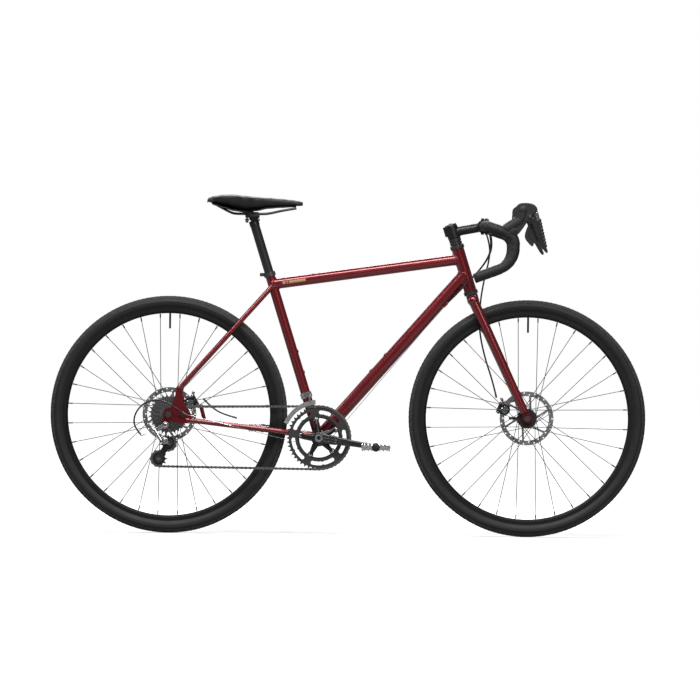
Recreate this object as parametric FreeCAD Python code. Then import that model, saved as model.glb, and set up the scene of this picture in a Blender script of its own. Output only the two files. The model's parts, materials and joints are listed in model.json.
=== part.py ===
import FreeCAD, Part
import math
import os

# Road bicycle, millimetres. Origin on the ground midway between the axles, +X forward, +Y to the rider's
# left, +Z up. The transmission is on the right, at negative Y.

# ---- driving dimensions -------------------------------------------------------------------------------
RIM_SEAT_R = 311.2      # bead seat of a 622 mm rim
RIM_FLANGE_R = RIM_SEAT_R + 6.3
RIM_INNER_R = RIM_SEAT_R - 12.2
TYRE_R = RIM_SEAT_R + 39.8
TYRE_SECTION_R = 19.0
TYRE_WALL = 2.5
RIM_HALF_WIDTH = 12.0
RIM_WALL = 1.6
SPOKE_COUNT = 32
SPOKE_R = 1.0
SPOKE_CROSSES = 3

HEAD_ANGLE = 72.5       # steering axis above the horizontal
SEAT_ANGLE = 72.5
CHAIN_STAY_RUN = TYRE_R + 94.0      # bottom bracket ahead of the rear axle
FRONT_CENTRE = TYRE_R + 264.0       # front axle ahead of the bottom bracket
BB_DROP = 64.0
WHEELBASE = CHAIN_STAY_RUN + FRONT_CENTRE
REAR_X = -WHEELBASE / 2
FRONT_X = WHEELBASE / 2
AXLE_Z = TYRE_R
BB_X = REAR_X + CHAIN_STAY_RUN
BB_Z = AXLE_Z - BB_DROP
BB_HALF_WIDTH = 34.0
BB_SHELL_R = 20.5
BB_BORE_R = 17.5

HEAD_TUBE_R = 18.4
HEAD_TUBE_WALL = 1.4
HEAD_TUBE_RISE = 124.0
HEAD_TUBE_BOTTOM_Z = 2 * TYRE_R + 25.0
HEAD_TUBE_TOP_Z = HEAD_TUBE_BOTTOM_Z + HEAD_TUBE_RISE
STEER_X = FRONT_X - 209.0           # a point on the steering axis
STEER_Z = HEAD_TUBE_TOP_Z - 6.7
TOP_TUBE_R = 15.9
TOP_TUBE_ANGLE = 8.27
TOP_TUBE_SEAT_Z = HEAD_TUBE_TOP_Z - 111.2
DOWN_TUBE_R = 19.05
DOWN_TUBE_HEAD_Z = HEAD_TUBE_BOTTOM_Z + 49.0
SEAT_TUBE_WALL = 0.65
SEAT_TUBE_TOP_Z = TOP_TUBE_SEAT_Z + 35.2
TUBE_WALL = 0.9
SEATPOST_R = 13.6
SEATPOST_WALL = 2.2
SEATPOST_EXPOSED_RISE = 155.0
SEATPOST_TOP_Z = SEAT_TUBE_TOP_Z + SEATPOST_EXPOSED_RISE
SEATPOST_INSERT = 130.0

STEERER_R = 14.3
STEERER_WALL = 1.6
HEADSET_R = 21.0
HEADSET_CUP = 11.0
CROWN_HEIGHT = 22.0
SPACER_STACK = 20.0
STEM_CLAMP = 40.0
BAR_X = STEER_X + 76.0
BAR_Z = HEAD_TUBE_TOP_Z + 67.0
BAR_R = 15.9
BAR_END_R = 12.0
TAPE_R = 15.0
BAR_HALF = 205.0        # centre of each drop from the middle plane

FRONT_OLD = 100.0       # over-locknut width of the front hub
REAR_OLD = 135.0
DROPOUT_THICK = 6.0
AXLE_R = 4.9
ROTOR_R = 80.0
ROTOR_THICK = 1.8
FRONT_ROTOR_INSET = 10.5
REAR_ROTOR_INSET = 15.3

CHAIN_PITCH = 12.7
ROLLER_R = 3.85
BIG_TEETH = 46
SMALL_TEETH = 34
BIG_RING_Y = -47.0
SMALL_RING_Y = -39.5
BOLT_CIRCLE_R = 55.0
CRANK_LENGTH = 170.0
CRANK_ANGLE = -8.5
CRANK_INNER_Y = 60.0
CRANK_THICK = 14.0
PEDAL_HALF_WIDTH = 46.0
SPROCKETS = [11, 13, 15, 17, 19, 21, 24, 28]
SPROCKET_PITCH = 4.8
OUTER_SPROCKET_Y = -REAR_OLD / 2 + 5.5
SPROCKET_THICK = 1.8
PULLEY_TEETH = 11
GUIDE_X = REAR_X + 1.0
GUIDE_Z = AXLE_Z - 84.4
PULLEY_SPACING = 54.0

RUN_GAP = 0.05          # radial clearance of a running fit
SIDE_GAP = 0.4          # side clearance between parts that turn past each other
SEAT_TUBE_R = SEATPOST_R + RUN_GAP + SEAT_TUBE_WALL

# ---- derived places ------------------------------------------------------------------------------------
STEER_SLOPE = math.tan(math.radians(HEAD_ANGLE))
SEAT_SLOPE = math.tan(math.radians(SEAT_ANGLE))
STEER_UP = FreeCAD.Vector(-math.cos(math.radians(HEAD_ANGLE)), 0, math.sin(math.radians(HEAD_ANGLE)))
SEAT_UP = FreeCAD.Vector(-math.cos(math.radians(SEAT_ANGLE)), 0, math.sin(math.radians(SEAT_ANGLE)))
Y_AXIS = FreeCAD.Vector(0, 1, 0)


def V(x, y, z):
    return FreeCAD.Vector(x, y, z)


def placed(outline, x, z):
    """An outline given about (0, 0), moved to stand about (x, z)."""
    return [(x + dx, z + dz) for dx, dz in outline]


def on_steer(z):
    return V(STEER_X + (STEER_Z - z) / STEER_SLOPE, 0, z)


def on_seat(z):
    return V(BB_X - (z - BB_Z) / SEAT_SLOPE, 0, z)


# ---- building blocks -----------------------------------------------------------------------------------
def rod(p, q, r):
    return Part.makeCylinder(r, (q - p).Length, p, q - p)


def pipe(p, q, outer, inner):
    return rod(p, q, outer).cut(rod(p, q, inner))


def taper(p, q, r1, r2):
    if abs(r1 - r2) < 1e-6:
        return rod(p, q, r1)
    return Part.makeCone(r1, r2, (q - p).Length, p, q - p)


def disc_y(x, z, r, y0, y1):
    return Part.makeCylinder(r, y1 - y0, V(x, y0, z), Y_AXIS)


def ring_y(x, z, outer, inner, y0, y1):
    return disc_y(x, z, outer, y0, y1).cut(disc_y(x, z, inner, y0, y1))


def block(x0, x1, y0, y1, z0, z1):
    return Part.makeBox(x1 - x0, y1 - y0, z1 - z0, V(x0, y0, z0))


def slab(outline, y0, y1):
    points = [V(x, y0, z) for x, z in outline]
    face = Part.Face(Part.makePolygon(points + [points[0]]))
    return face.extrude(V(0, y1 - y0, 0))


def flat_bar(p, q, half, y0, y1):
    """A flat bar from p to q, (x, z) places, half its width each side of the line between them."""
    length = math.hypot(q[0] - p[0], q[1] - p[1])
    nx = half * (p[1] - q[1]) / length
    nz = half * (q[0] - p[0]) / length
    return slab([(p[0] + nx, p[1] + nz), (q[0] + nx, q[1] + nz), (q[0] - nx, q[1] - nz),
                 (p[0] - nx, p[1] - nz)], y0, y1)


def fuse(shapes):
    result = shapes[0]
    for shape in shapes[1:]:
        result = result.fuse(shape)
    return result.removeSplitter()


def limb(points, radii):
    """A tapering round bar through points, mitred at its bends."""
    rings = []
    for i, point in enumerate(points):
        before = point - points[max(i - 1, 0)]
        after = points[min(i + 1, len(points) - 1)] - point
        way = sum((v.normalize() for v in (before, after) if v.Length > 0), V(0, 0, 0))
        rings.append(Part.Wire(Part.makeCircle(radii[i], point, way)))
    return Part.makeLoft(rings, True, True)


def turned(x, z, section):
    """A solid of revolution about a Y axis through (x, z); section is a list of (radius, y)."""
    points = [V(x + r, y, z) for r, y in section]
    face = Part.Face(Part.makePolygon(points + [points[0]]))
    return face.revolve(V(x, 0, z), Y_AXIS, 360)


def mirrored(shape):
    return shape.mirror(V(0, 0, 0), Y_AXIS)


def both_sides(shape):
    return [shape, mirrored(shape)]


def routed(points, r):
    """A cord of radius r through points, with a tangent arc at every inner point."""
    edges = []
    start = points[0]
    for i in range(1, len(points) - 1):
        back = points[i - 1] - points[i]
        ahead = points[i + 1] - points[i]
        turn = math.pi - back.getAngle(ahead)
        trim = 0.45 * min(back.Length, ahead.Length)
        radius = trim / math.tan(turn / 2)
        a = points[i] + back.normalize() * trim
        b = points[i] + ahead.normalize() * trim
        to_middle = (a + b) * 0.5 - points[i]
        reach = math.hypot(trim, radius) - radius
        middle = points[i] + to_middle.normalize() * reach
        edges.append(Part.LineSegment(start, a).toShape())
        edges.append(Part.Arc(a, middle, b).toShape())
        start = b
        print("cord radius", round(radius, 1), "in diameters", round(radius / (2 * r), 1))
    edges.append(Part.LineSegment(start, points[-1]).toShape())
    path = Part.Wire(edges)
    section = Part.Wire(Part.makeCircle(r, points[0], points[1] - points[0]))
    cord = path.makePipeShell([section], True, True)
    print("cord volume over section times length", round(cord.Volume / (math.pi * r * r * path.Length), 4))
    return cord


def save(name, shapes):
    shape = shapes[0] if len(shapes) == 1 else Part.makeCompound(shapes)
    shape.exportStep("parts/" + name + ".step")


# ---- toothed wheels ------------------------------------------------------------------------------------
def pitch_radius(teeth):
    return CHAIN_PITCH / (2 * math.sin(math.pi / teeth))


def toothed(x, z, teeth, phase, y, thick, bore):
    """A sprocket with a roller seat centred on each pitch point and straight tooth flanks."""
    pitch_r = pitch_radius(teeth)
    step = 2 * math.pi / teeth
    seat_r = ROLLER_R + 0.2
    edges = []
    outline = []
    for i in range(teeth):
        angle = phase + i * step
        centre = (x + pitch_r * math.cos(angle), z + pitch_r * math.sin(angle))
        side = math.radians(62)
        for swing in (-side, 0, side):
            way = angle + math.pi + swing
            outline.append((centre[0] + seat_r * math.cos(way), centre[1] + seat_r * math.sin(way)))
        tip_r = pitch_r + 2.6
        for share in (0.44, 0.56):
            tip = angle + share * step
            outline.append((x + tip_r * math.cos(tip), z + tip_r * math.sin(tip)))
    y0 = y - thick / 2
    points = [V(px, y0, pz) for px, pz in outline]
    count = len(points)
    for i in range(0, count, 5):
        low, bottom, high, tip_a, tip_b = points[i:i + 5]
        # the swing runs the arc from the far flank to the near one, so the seat is entered at its high end
        edges.append(Part.Arc(high, bottom, low).toShape())
        edges.append(Part.LineSegment(low, tip_a).toShape())
        edges.append(Part.LineSegment(tip_a, tip_b).toShape())
        edges.append(Part.LineSegment(tip_b, points[(i + 7) % count]).toShape())
    face = Part.Face(Part.Wire(Part.__sortEdges__(edges)))
    return face.extrude(V(0, thick, 0)).cut(disc_y(x, z, bore, y0 - 1, y0 + thick + 1))


# ---- frame ---------------------------------------------------------------------------------------------
BB_CENTRE = V(BB_X, 0, BB_Z)
BOSS_SPACING = 64.0
BOSS_R = 5.5
BOSS_BORE_R = 2.5
BOSS_DEPTH = 5.0
BOSS_PROUD = 2.0
DOWN_BOSS_START = 250.0
SEAT_BOSS_START = 200.0
STAY_TOP_Y = 9.0
SEAT_STAY_R = 7.5
SEAT_STAY_TOP_Z = TOP_TUBE_SEAT_Z - 3.8
SEAT_STAY_END = (REAR_X + 30.0, AXLE_Z + 76.0)
BRIDGE_R = 5.0

top_seat = on_seat(TOP_TUBE_SEAT_Z)
top_slope = math.tan(math.radians(TOP_TUBE_ANGLE))
top_head_x = STEER_X + (STEER_Z - top_seat.z + top_slope * top_seat.x) / STEER_SLOPE
top_head_x = top_head_x / (1 + top_slope / STEER_SLOPE)
top_head = V(top_head_x, 0, top_seat.z + top_slope * (top_head_x - top_seat.x))
down_head = on_steer(DOWN_TUBE_HEAD_Z)
head_bottom = on_steer(HEAD_TUBE_BOTTOM_Z)
head_top = on_steer(HEAD_TUBE_TOP_Z)
seat_top = on_seat(SEAT_TUBE_TOP_Z)
stay_end_y = REAR_OLD / 2 + DROPOUT_THICK / 2

head_core = rod(head_bottom, head_top, HEAD_TUBE_R)
seat_core = rod(BB_CENTRE, seat_top, SEAT_TUBE_R)
top_core = rod(top_seat, top_head, TOP_TUBE_R)
down_core = rod(BB_CENTRE, down_head, DOWN_TUBE_R)
shell_core = disc_y(BB_X, BB_Z, BB_SHELL_R, -BB_HALF_WIDTH, BB_HALF_WIDTH)

down_way = (down_head - BB_CENTRE).normalize()
down_normal = V(-down_way.z, 0, down_way.x)
seat_normal = V(SEAT_UP.z, 0, -SEAT_UP.x)


def boss(base, normal, tube_r):
    inner = base + normal * (tube_r - BOSS_DEPTH)
    outer = base + normal * (tube_r + BOSS_PROUD)
    return inner, outer


def boss_places():
    places = []
    for along in (0.0, BOSS_SPACING):
        on_down = BB_CENTRE + down_way * (DOWN_BOSS_START + along)
        places.append(boss(on_down, down_normal, DOWN_TUBE_R))
        up_seat = BB_CENTRE + SEAT_UP * (SEAT_BOSS_START + along)
        places.append(boss(up_seat, seat_normal, SEAT_TUBE_R))
    return places


boss_cores = [rod(inner, outer, BOSS_R) for inner, outer in boss_places()]


def cut_all(shape, tools):
    for tool in tools:
        shape = shape.cut(tool)
    return shape


def frame_tubes():
    save("head_tube", [pipe(head_bottom, head_top, HEAD_TUBE_R, HEAD_TUBE_R - HEAD_TUBE_WALL)])
    top = pipe(top_seat, top_head, TOP_TUBE_R, TOP_TUBE_R - TUBE_WALL)
    save("top_tube", [cut_all(top, [seat_core, head_core])])
    down = pipe(BB_CENTRE, down_head, DOWN_TUBE_R, DOWN_TUBE_R - TUBE_WALL)
    save("down_tube", [cut_all(down, [head_core, shell_core] + boss_cores)])
    seat = pipe(BB_CENTRE, seat_top, SEAT_TUBE_R, SEATPOST_R + RUN_GAP)
    save("seat_tube", [cut_all(seat, [shell_core, down_core] + boss_cores)])
    save("bottom_bracket_shell", [ring_y(BB_X, BB_Z, BB_SHELL_R, BB_BORE_R, -BB_HALF_WIDTH, BB_HALF_WIDTH)])
    bosses = [rod(a, b, BOSS_R).cut(rod(a, b, BOSS_BORE_R)) for a, b in boss_places()]
    save("bottle_bosses", bosses)


# The stays bow out round the tyre and stay inside the chainrings.
CHAIN_STAY_START = (BB_X - 13.0, BB_Z + 7.06)
CHAIN_STAY_END = (REAR_X + 52.0, AXLE_Z - 15.33)
CHAIN_STAY_POINTS = [(CHAIN_STAY_START[0], 24.0), (BB_X - 105.0, 29.0), (BB_X - 160.0, 37.0),
                     (CHAIN_STAY_END[0], stay_end_y - 1.5)]
CHAIN_STAY_RADII = [9.5, 8.5, 8.5, 7.0]
CHAIN_STAY_SLOPE = (CHAIN_STAY_START[1] - CHAIN_STAY_END[1]) / (CHAIN_STAY_START[0] - CHAIN_STAY_END[0])
CHAIN_BRIDGE_X = BB_X - 65.0
EYELET = (REAR_X + 27.0, AXLE_Z + 45.0)
HANGER = (REAR_X - 8.5, AXLE_Z - 31.5)
HANGER_BORE_R = 5.0
DROPOUT_HOLE = (REAR_X + 38.0, AXLE_Z - 4.0)
DROPOUT = placed([(8, 21), (18, 49), (24, 81), (38, 81), (44, 41), (60, 7), (68, -6), (68, -23), (40, -26),
                  (12, -21), (-14, -15), (-16, 1), (-10, 15)], REAR_X, AXLE_Z)
HANGER_TAB = placed([(-18, -13), (2, -15), (2, -39), (-4, -42), (-13, -42), (-18, -37)], REAR_X, AXLE_Z)


def chain_stay_z(x):
    return CHAIN_STAY_START[1] + (x - CHAIN_STAY_START[0]) * CHAIN_STAY_SLOPE


def dropout_plate(y0, hanger):
    plate = slab(DROPOUT, y0, y0 + DROPOUT_THICK)
    if hanger:
        plate = fuse([plate, slab(HANGER_TAB, y0, y0 + DROPOUT_THICK)])
        plate = plate.cut(disc_y(HANGER[0], HANGER[1], HANGER_BORE_R, y0 - 1, y0 + DROPOUT_THICK + 1))
    plate = plate.cut(disc_y(REAR_X, AXLE_Z, AXLE_R + 0.15, y0 - 1, y0 + DROPOUT_THICK + 1))
    plate = plate.cut(disc_y(EYELET[0], EYELET[1], BOSS_BORE_R, y0 - 1, y0 + DROPOUT_THICK + 1))
    return plate.cut(disc_y(DROPOUT_HOLE[0], DROPOUT_HOLE[1], 6.0, y0 - 1, y0 + DROPOUT_THICK + 1))


def rear_triangle():
    plates = [dropout_plate(REAR_OLD / 2, False), dropout_plate(-REAR_OLD / 2 - DROPOUT_THICK, True)]
    points = [V(x, y, chain_stay_z(x)) for x, y in CHAIN_STAY_POINTS]
    chain_stay = limb(points, CHAIN_STAY_RADII)
    chain_bridge = disc_y(CHAIN_BRIDGE_X, chain_stay_z(CHAIN_BRIDGE_X), BRIDGE_R, -20, 20)
    pair = both_sides(chain_stay)
    strut_y = REAR_OLD / 2 - 7.5
    strut_foot = V(REAR_X + 105, strut_y, chain_stay_z(REAR_X + 105))
    strut = rod(strut_foot, V(REAR_X + 92, strut_y, AXLE_Z + 29), 6.0)
    strut = cut_all(strut, [pair[0], caliper_block(REAR_CALIPER)])
    trimmed = [cut_all(stay, [shell_core] + plates) for stay in pair]
    save("chain_stays", trimmed + [cut_all(chain_bridge, pair), strut])
    top = V(on_seat(SEAT_STAY_TOP_Z).x, STAY_TOP_Y, SEAT_STAY_TOP_Z)
    end = V(SEAT_STAY_END[0], stay_end_y, SEAT_STAY_END[1])
    seat_stay = taper(top, end, SEAT_STAY_R, SEAT_STAY_R - 1)
    at = top + (end - top) * 0.27
    seat_bridge = disc_y(at.x, at.z, BRIDGE_R, -at.y, at.y)
    stays = both_sides(seat_stay)
    trimmed = [cut_all(s, [seat_core, top_core] + plates) for s in stays]
    save("seat_stays", trimmed + [cut_all(seat_bridge, stays)])
    save("dropouts", plates)


# ---- bearings and seat clamp ---------------------------------------------------------------------------
CUP_INSERT = 10.0
SPINDLE_R = 12.0
BB_CUP_R = 22.0
BB_CUP_Y = 44.4


def bearing_cups():
    inner = STEERER_R + RUN_GAP
    upper = fuse([rod(head_top, head_top + STEER_UP * HEADSET_CUP, HEADSET_R),
                  rod(head_top - STEER_UP * CUP_INSERT, head_top, HEAD_TUBE_R - HEAD_TUBE_WALL)])
    lower = fuse([rod(head_bottom - STEER_UP * HEADSET_CUP, head_bottom, HEADSET_R),
                  rod(head_bottom, head_bottom + STEER_UP * CUP_INSERT, HEAD_TUBE_R - HEAD_TUBE_WALL)])
    bore = rod(head_bottom - STEER_UP * 40, head_top + STEER_UP * 40, inner)
    flange = ring_y(BB_X, BB_Z, BB_CUP_R, SPINDLE_R + RUN_GAP, BB_HALF_WIDTH, BB_CUP_Y)
    insert = ring_y(BB_X, BB_Z, BB_BORE_R, SPINDLE_R + RUN_GAP, BB_HALF_WIDTH - 14, BB_HALF_WIDTH)
    save("bearing_cups", [upper.cut(bore), lower.cut(bore)] + both_sides(fuse([flange, insert])))


def seat_collar():
    low = seat_top - SEAT_UP * 13
    high = seat_top - SEAT_UP * 0.5
    collar = pipe(low, high, SEAT_TUBE_R + 3.2, SEAT_TUBE_R)
    middle = (low + high) * 0.5
    lug = block(middle.x - 29, middle.x - 15, -7, 7, middle.z - 6, middle.z + 4)
    bolt_x = middle.x - 24.0
    tube_line = rod(BB_CENTRE, seat_top + SEAT_UP * 20, SEAT_TUBE_R)
    collar = fuse([collar, lug.cut(tube_line)]).cut(disc_y(bolt_x, middle.z - 1, 2.7, -8, 8))
    bolt = fuse([disc_y(bolt_x, middle.z - 1, 2.5, -9, 7), disc_y(bolt_x, middle.z - 1, 4.2, -12, -7.1)])
    save("seat_collar", [collar, bolt])


# ---- seatpost and saddle -------------------------------------------------------------------------------
RAIL_Y = 22.0
RAIL_R = 3.5
RAIL_Z = SEATPOST_TOP_Z + 17.0
CLAMP_X = on_seat(SEATPOST_TOP_Z).x - 4.26
# stations of the saddle: ahead of the clamp, half width, top and underside above the rails
SADDLE = [(-132, 38, 45, 35), (-110, 68, 55, 29), (-70, 71, 57, 19), (-20, 50, 52, 10),
          (42, 26, 47, 14), (102, 19, 44, 18), (140, 17, 41, 21), (151, 12, 37, 25)]


def loft(stations):
    wires = []
    for ahead, half, top, underside in stations:
        x = CLAMP_X + ahead
        high = RAIL_Z + top
        low = RAIL_Z + underside
        middle = (high + low) / 2
        outline = [(-half, middle), (-0.8 * half, high - 3), (0, high), (0.8 * half, high - 3),
                   (half, middle), (0.85 * half, low), (-0.85 * half, low)]
        points = [V(x, y, z) for y, z in outline]
        wires.append(Part.makePolygon(points + [points[0]]))
    return Part.makeLoft(wires, True, True)


def seat():
    foot = seat_top - SEAT_UP * SEATPOST_INSERT
    head = on_seat(SEATPOST_TOP_Z)
    solids = [pipe(foot, head, SEATPOST_R, SEATPOST_R - SEATPOST_WALL)]
    cradle = block(CLAMP_X - 20, CLAMP_X + 24, -28, 28, RAIL_Z - 13, RAIL_Z + 0.2)
    cradle = cradle.cut(rod(foot, head, SEATPOST_R))
    yoke = block(CLAMP_X - 16, CLAMP_X + 20, -28, 28, RAIL_Z + 0.6, RAIL_Z + 5.8)
    rails = []
    for side in (-1, 1):
        points = [V(CLAMP_X - 96, 30 * side, RAIL_Z + 22), V(CLAMP_X - 53, RAIL_Y * side, RAIL_Z),
                  V(CLAMP_X + 47, RAIL_Y * side, RAIL_Z), V(CLAMP_X + 120, 9 * side, RAIL_Z + 16)]
        rails.append(routed(points, RAIL_R))
    bolts = []
    for dx in (-10.0, 14.0):
        x = CLAMP_X + dx
        bolts.append(rod(V(x, 0, RAIL_Z - 24), V(x, 0, RAIL_Z + 6), 2.5))
    solids.append(cut_all(cradle, rails + bolts))
    solids.append(cut_all(yoke, rails + bolts))
    solids.extend([b.cut(rod(foot, head, SEATPOST_R)) for b in bolts])
    save("seatpost", solids)
    save("saddle_cover", [loft(SADDLE)])
    lower = [(ahead, 0.86 * half, low - 0.7, low - 3.7) for ahead, half, high, low in SADDLE[1:-1]]
    shell = loft(lower)
    save("saddle_base", [shell] + [r.cut(shell) for r in rails])


# ---- fork and cockpit ----------------------------------------------------------------------------------
CROWN_Z = HEAD_TUBE_BOTTOM_Z - 29.0
CROWN_R = 15.0
BLADE_TOP_Y = 40.0
BLADE_END_Y = FRONT_OLD / 2 + DROPOUT_THICK
BLADE_TOP_R = 14.5
BLADE_END_R = 12.0
CROWN_KNOB_R = 16.5
FORK_TAB = placed([(-16, 33), (8, 15), (15, 0), (8, -13), (-8, -13), (-15, 0)], FRONT_X, AXLE_Z)
CROWN_SEAT_R = STEERER_R + 3.2
stem_start = HEADSET_CUP + SIDE_GAP + SPACER_STACK


def fork():
    race = head_bottom - STEER_UP * (HEADSET_CUP + SIDE_GAP)
    crown_at = on_steer(CROWN_Z)
    seat_end = race - STEER_UP * CROWN_HEIGHT
    steerer_top = head_top + STEER_UP * (stem_start + STEM_CLAMP - 2)
    bar = disc_y(crown_at.x, crown_at.z, CROWN_R, -BLADE_TOP_Y, BLADE_TOP_Y)
    knobs = [Part.makeSphere(CROWN_KNOB_R, V(crown_at.x, s * BLADE_TOP_Y, crown_at.z)) for s in (-1, 1)]
    crown = fuse([rod(seat_end, race, CROWN_SEAT_R), bar] + knobs)
    steerer = pipe(race, steerer_top, STEERER_R, STEERER_R - STEERER_WALL)
    save("fork_crown", [fuse([crown, steerer])])
    top = V(crown_at.x, BLADE_TOP_Y, crown_at.z)
    end = V(FRONT_X - 8, BLADE_END_Y, AXLE_Z + 18)
    blades = both_sides(taper(top, end, BLADE_TOP_R, BLADE_END_R))
    tabs = []
    for y0 in (FRONT_OLD / 2, -FRONT_OLD / 2 - DROPOUT_THICK):
        tab = slab(FORK_TAB, y0, y0 + DROPOUT_THICK)
        tabs.append(tab.cut(disc_y(FRONT_X, AXLE_Z, AXLE_R + 0.15, y0 - 1, y0 + DROPOUT_THICK + 1)))
    trimmed = [cut_all(b, tabs + [crown]) for b in blades]
    strut_root = V(FRONT_X - 30, FRONT_OLD / 2 + 3, AXLE_Z + 57)
    strut = taper(strut_root, V(FRONT_X - 68, FRONT_OLD / 2 - 3.2, AXLE_Z + 45), 6.0, 5.5)
    strut = cut_all(strut, [blades[0], caliper_block(FRONT_CALIPER)])
    save("fork_blades", trimmed + tabs + [strut])
    spacers = []
    for i in range(2):
        a = head_top + STEER_UP * (HEADSET_CUP + SIDE_GAP + i * SPACER_STACK / 2)
        spacers.append(pipe(a, a + STEER_UP * SPACER_STACK / 2, CROWN_SEAT_R, STEERER_R))
    cap = head_top + STEER_UP * (stem_start + STEM_CLAMP)
    spacers.append(rod(cap, cap + STEER_UP * 4.5, 17.0))
    save("headset_spacers", spacers)


STEM_BOLT_Z = BAR_R + 3.6


def stem():
    low = head_top + STEER_UP * stem_start
    high = low + STEER_UP * STEM_CLAMP
    steerer = rod(low, high, STEERER_R)
    centre = V(BAR_X, 0, BAR_Z)
    ear = block(BAR_X - 9, BAR_X + 9, -21, 21, BAR_Z - STEM_BOLT_Z - 4.5, BAR_Z + STEM_BOLT_Z + 4.5)
    body = fuse([rod(low, high, STEERER_R + 4.7), rod((low + high) * 0.5, centre, 14.5),
                 disc_y(BAR_X, BAR_Z, BAR_R + 5.1, -21, 21), ear])
    body = body.cut(steerer).cut(disc_y(BAR_X, BAR_Z, BAR_R, -30, 30))
    bolts = []
    for y in (-14.0, 14.0):
        for z in (-STEM_BOLT_Z, STEM_BOLT_Z):
            body = body.cut(rod(V(BAR_X - 9, y, BAR_Z + z), V(BAR_X + 25, y, BAR_Z + z), 2.2))
            bolts.append(rod(V(BAR_X - 8, y, BAR_Z + z), V(BAR_X + 13, y, BAR_Z + z), 2.0))
    rear = body.cut(block(BAR_X - 0.5, BAR_X + 40, -40, 40, BAR_Z - 60, BAR_Z + 60))
    front = body.cut(block(-1000, BAR_X + 0.5, -60, 60, 0, 2000))
    save("stem", [rear, front] + bolts)


BAR_CORNERS = [(BAR_X, 0.0, BAR_Z), (BAR_X, BAR_HALF, BAR_Z), (BAR_X + 87.0, BAR_HALF, BAR_Z - 29.0),
               (BAR_X + 85.0, BAR_HALF, BAR_Z - 112.0), (BAR_X - 23.4, BAR_HALF + 2, BAR_Z - 152.0)]
BAR_BENDS = [38.0, 36.0, 66.0]
TAPE_START_Y = 70.0


def bent_path(corners, bends):
    """Straight runs joined by arcs of the given radii."""
    edges = []
    start = V(*corners[0])
    for i, radius in enumerate(bends):
        corner = V(*corners[i + 1])
        back = (V(*corners[i]) - corner).normalize()
        ahead = (V(*corners[i + 2]) - corner).normalize()
        half = back.getAngle(ahead) / 2
        trim = radius / math.tan(half)
        a = corner + back * trim
        b = corner + ahead * trim
        middle = corner + (back + ahead).normalize() * (radius / math.sin(half) - radius)
        edges.append(Part.LineSegment(start, a).toShape())
        edges.append(Part.Arc(a, middle, b).toShape())
        start = b
    edges.append(Part.LineSegment(start, V(*corners[-1])).toShape())
    return Part.Wire(edges)


def swept_bar(r, first_y):
    corners = [(BAR_X, first_y, BAR_Z)] + BAR_CORNERS[1:]
    path = bent_path(corners, BAR_BENDS)
    way = V(*corners[1]) - V(*corners[0])
    section = Part.Wire(Part.makeCircle(r, V(*corners[0]), way))
    return path.makePipeShell([section], True, True)


HOOD = placed([(49, -13), (49, -1), (73, 8), (85, 22), (87, 56), (103, 66), (127, 67), (148, 53), (152, 42),
               (127, 20), (100, -19), (85, -38), (65, -38)], BAR_X, BAR_Z)
HOOD_HALF = 17.0
HOOD_SLOT_HALF = 8.5
LEVER_PIVOT = (BAR_X + 133.0, BAR_Z + 30.0)
LEVER_PIN_R = 2.5
LEVER = placed([(4, 12), (19, 10), (27, -18), (36, -63), (50, -106), (43, -110), (22, -80), (10, -43),
                (-2, -12)], *LEVER_PIVOT)
LEVER_HALF = 6.0
PADDLE = placed([(2, -22), (-6, -43), (-8, -55), (0, -71), (16, -86), (17, -63), (10, -33)], *LEVER_PIVOT)
PADDLE_NEAR = 6.6       # the paddle's faces, in from the middle of the lever
PADDLE_FAR = 14.0
PADDLE_BARREL_R = 3.4
PADDLE_PIN_R = 1.5
PADDLE_AXIS_Y = 10.0
PADDLE_WAY = V(47, 0, -107).normalize()


def cockpit():
    half_bar = swept_bar(BAR_END_R, 0.0)
    bulge = fuse([rod(V(BAR_X, 0, BAR_Z), V(BAR_X, 32, BAR_Z), BAR_R),
                  taper(V(BAR_X, 32, BAR_Z), V(BAR_X, 56, BAR_Z), BAR_R, BAR_END_R + 0.4)])
    hollow = swept_bar(BAR_END_R - 2.2, 0.0)
    solid = fuse([half_bar, bulge]).cut(hollow)
    save("handlebar", [fuse([solid, mirrored(solid)])])
    tape = swept_bar(TAPE_R, TAPE_START_Y).cut(half_bar)
    hoods = []
    tapes = []
    for side in (1, -1):
        y = side * BAR_HALF
        hood = slab(HOOD, y - HOOD_HALF, y + HOOD_HALF)
        pocket = disc_y(LEVER_PIVOT[0], LEVER_PIVOT[1], 16.0, y - HOOD_SLOT_HALF, y + HOOD_SLOT_HALF)
        front = block(LEVER_PIVOT[0] - 15, LEVER_PIVOT[0] + 30, y - HOOD_SLOT_HALF, y + HOOD_SLOT_HALF,
                      LEVER_PIVOT[1] - 23, LEVER_PIVOT[1] + 18)
        own_bar = half_bar if side > 0 else mirrored(half_bar)
        own_tape = tape if side > 0 else mirrored(tape)
        hood = cut_all(hood, [pocket, front, own_bar])
        pin = disc_y(LEVER_PIVOT[0], LEVER_PIVOT[1], LEVER_PIN_R, y - 14, y + 14)
        hoods.extend([hood.cut(pin), pin])
        tapes.append(own_tape.cut(hood))
    save("lever_hoods", hoods)
    save("bar_tape", tapes)
    for name, side in (("left", 1), ("right", -1)):
        lever_and_paddle(name, side)


def paddle_point(side, along):
    """A point on the paddle's pin, which runs down the inner side of the brake lever."""
    start = V(LEVER_PIVOT[0] + 4, side * (BAR_HALF - PADDLE_AXIS_Y), LEVER_PIVOT[1] - 22)
    return start + PADDLE_WAY * along


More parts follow.
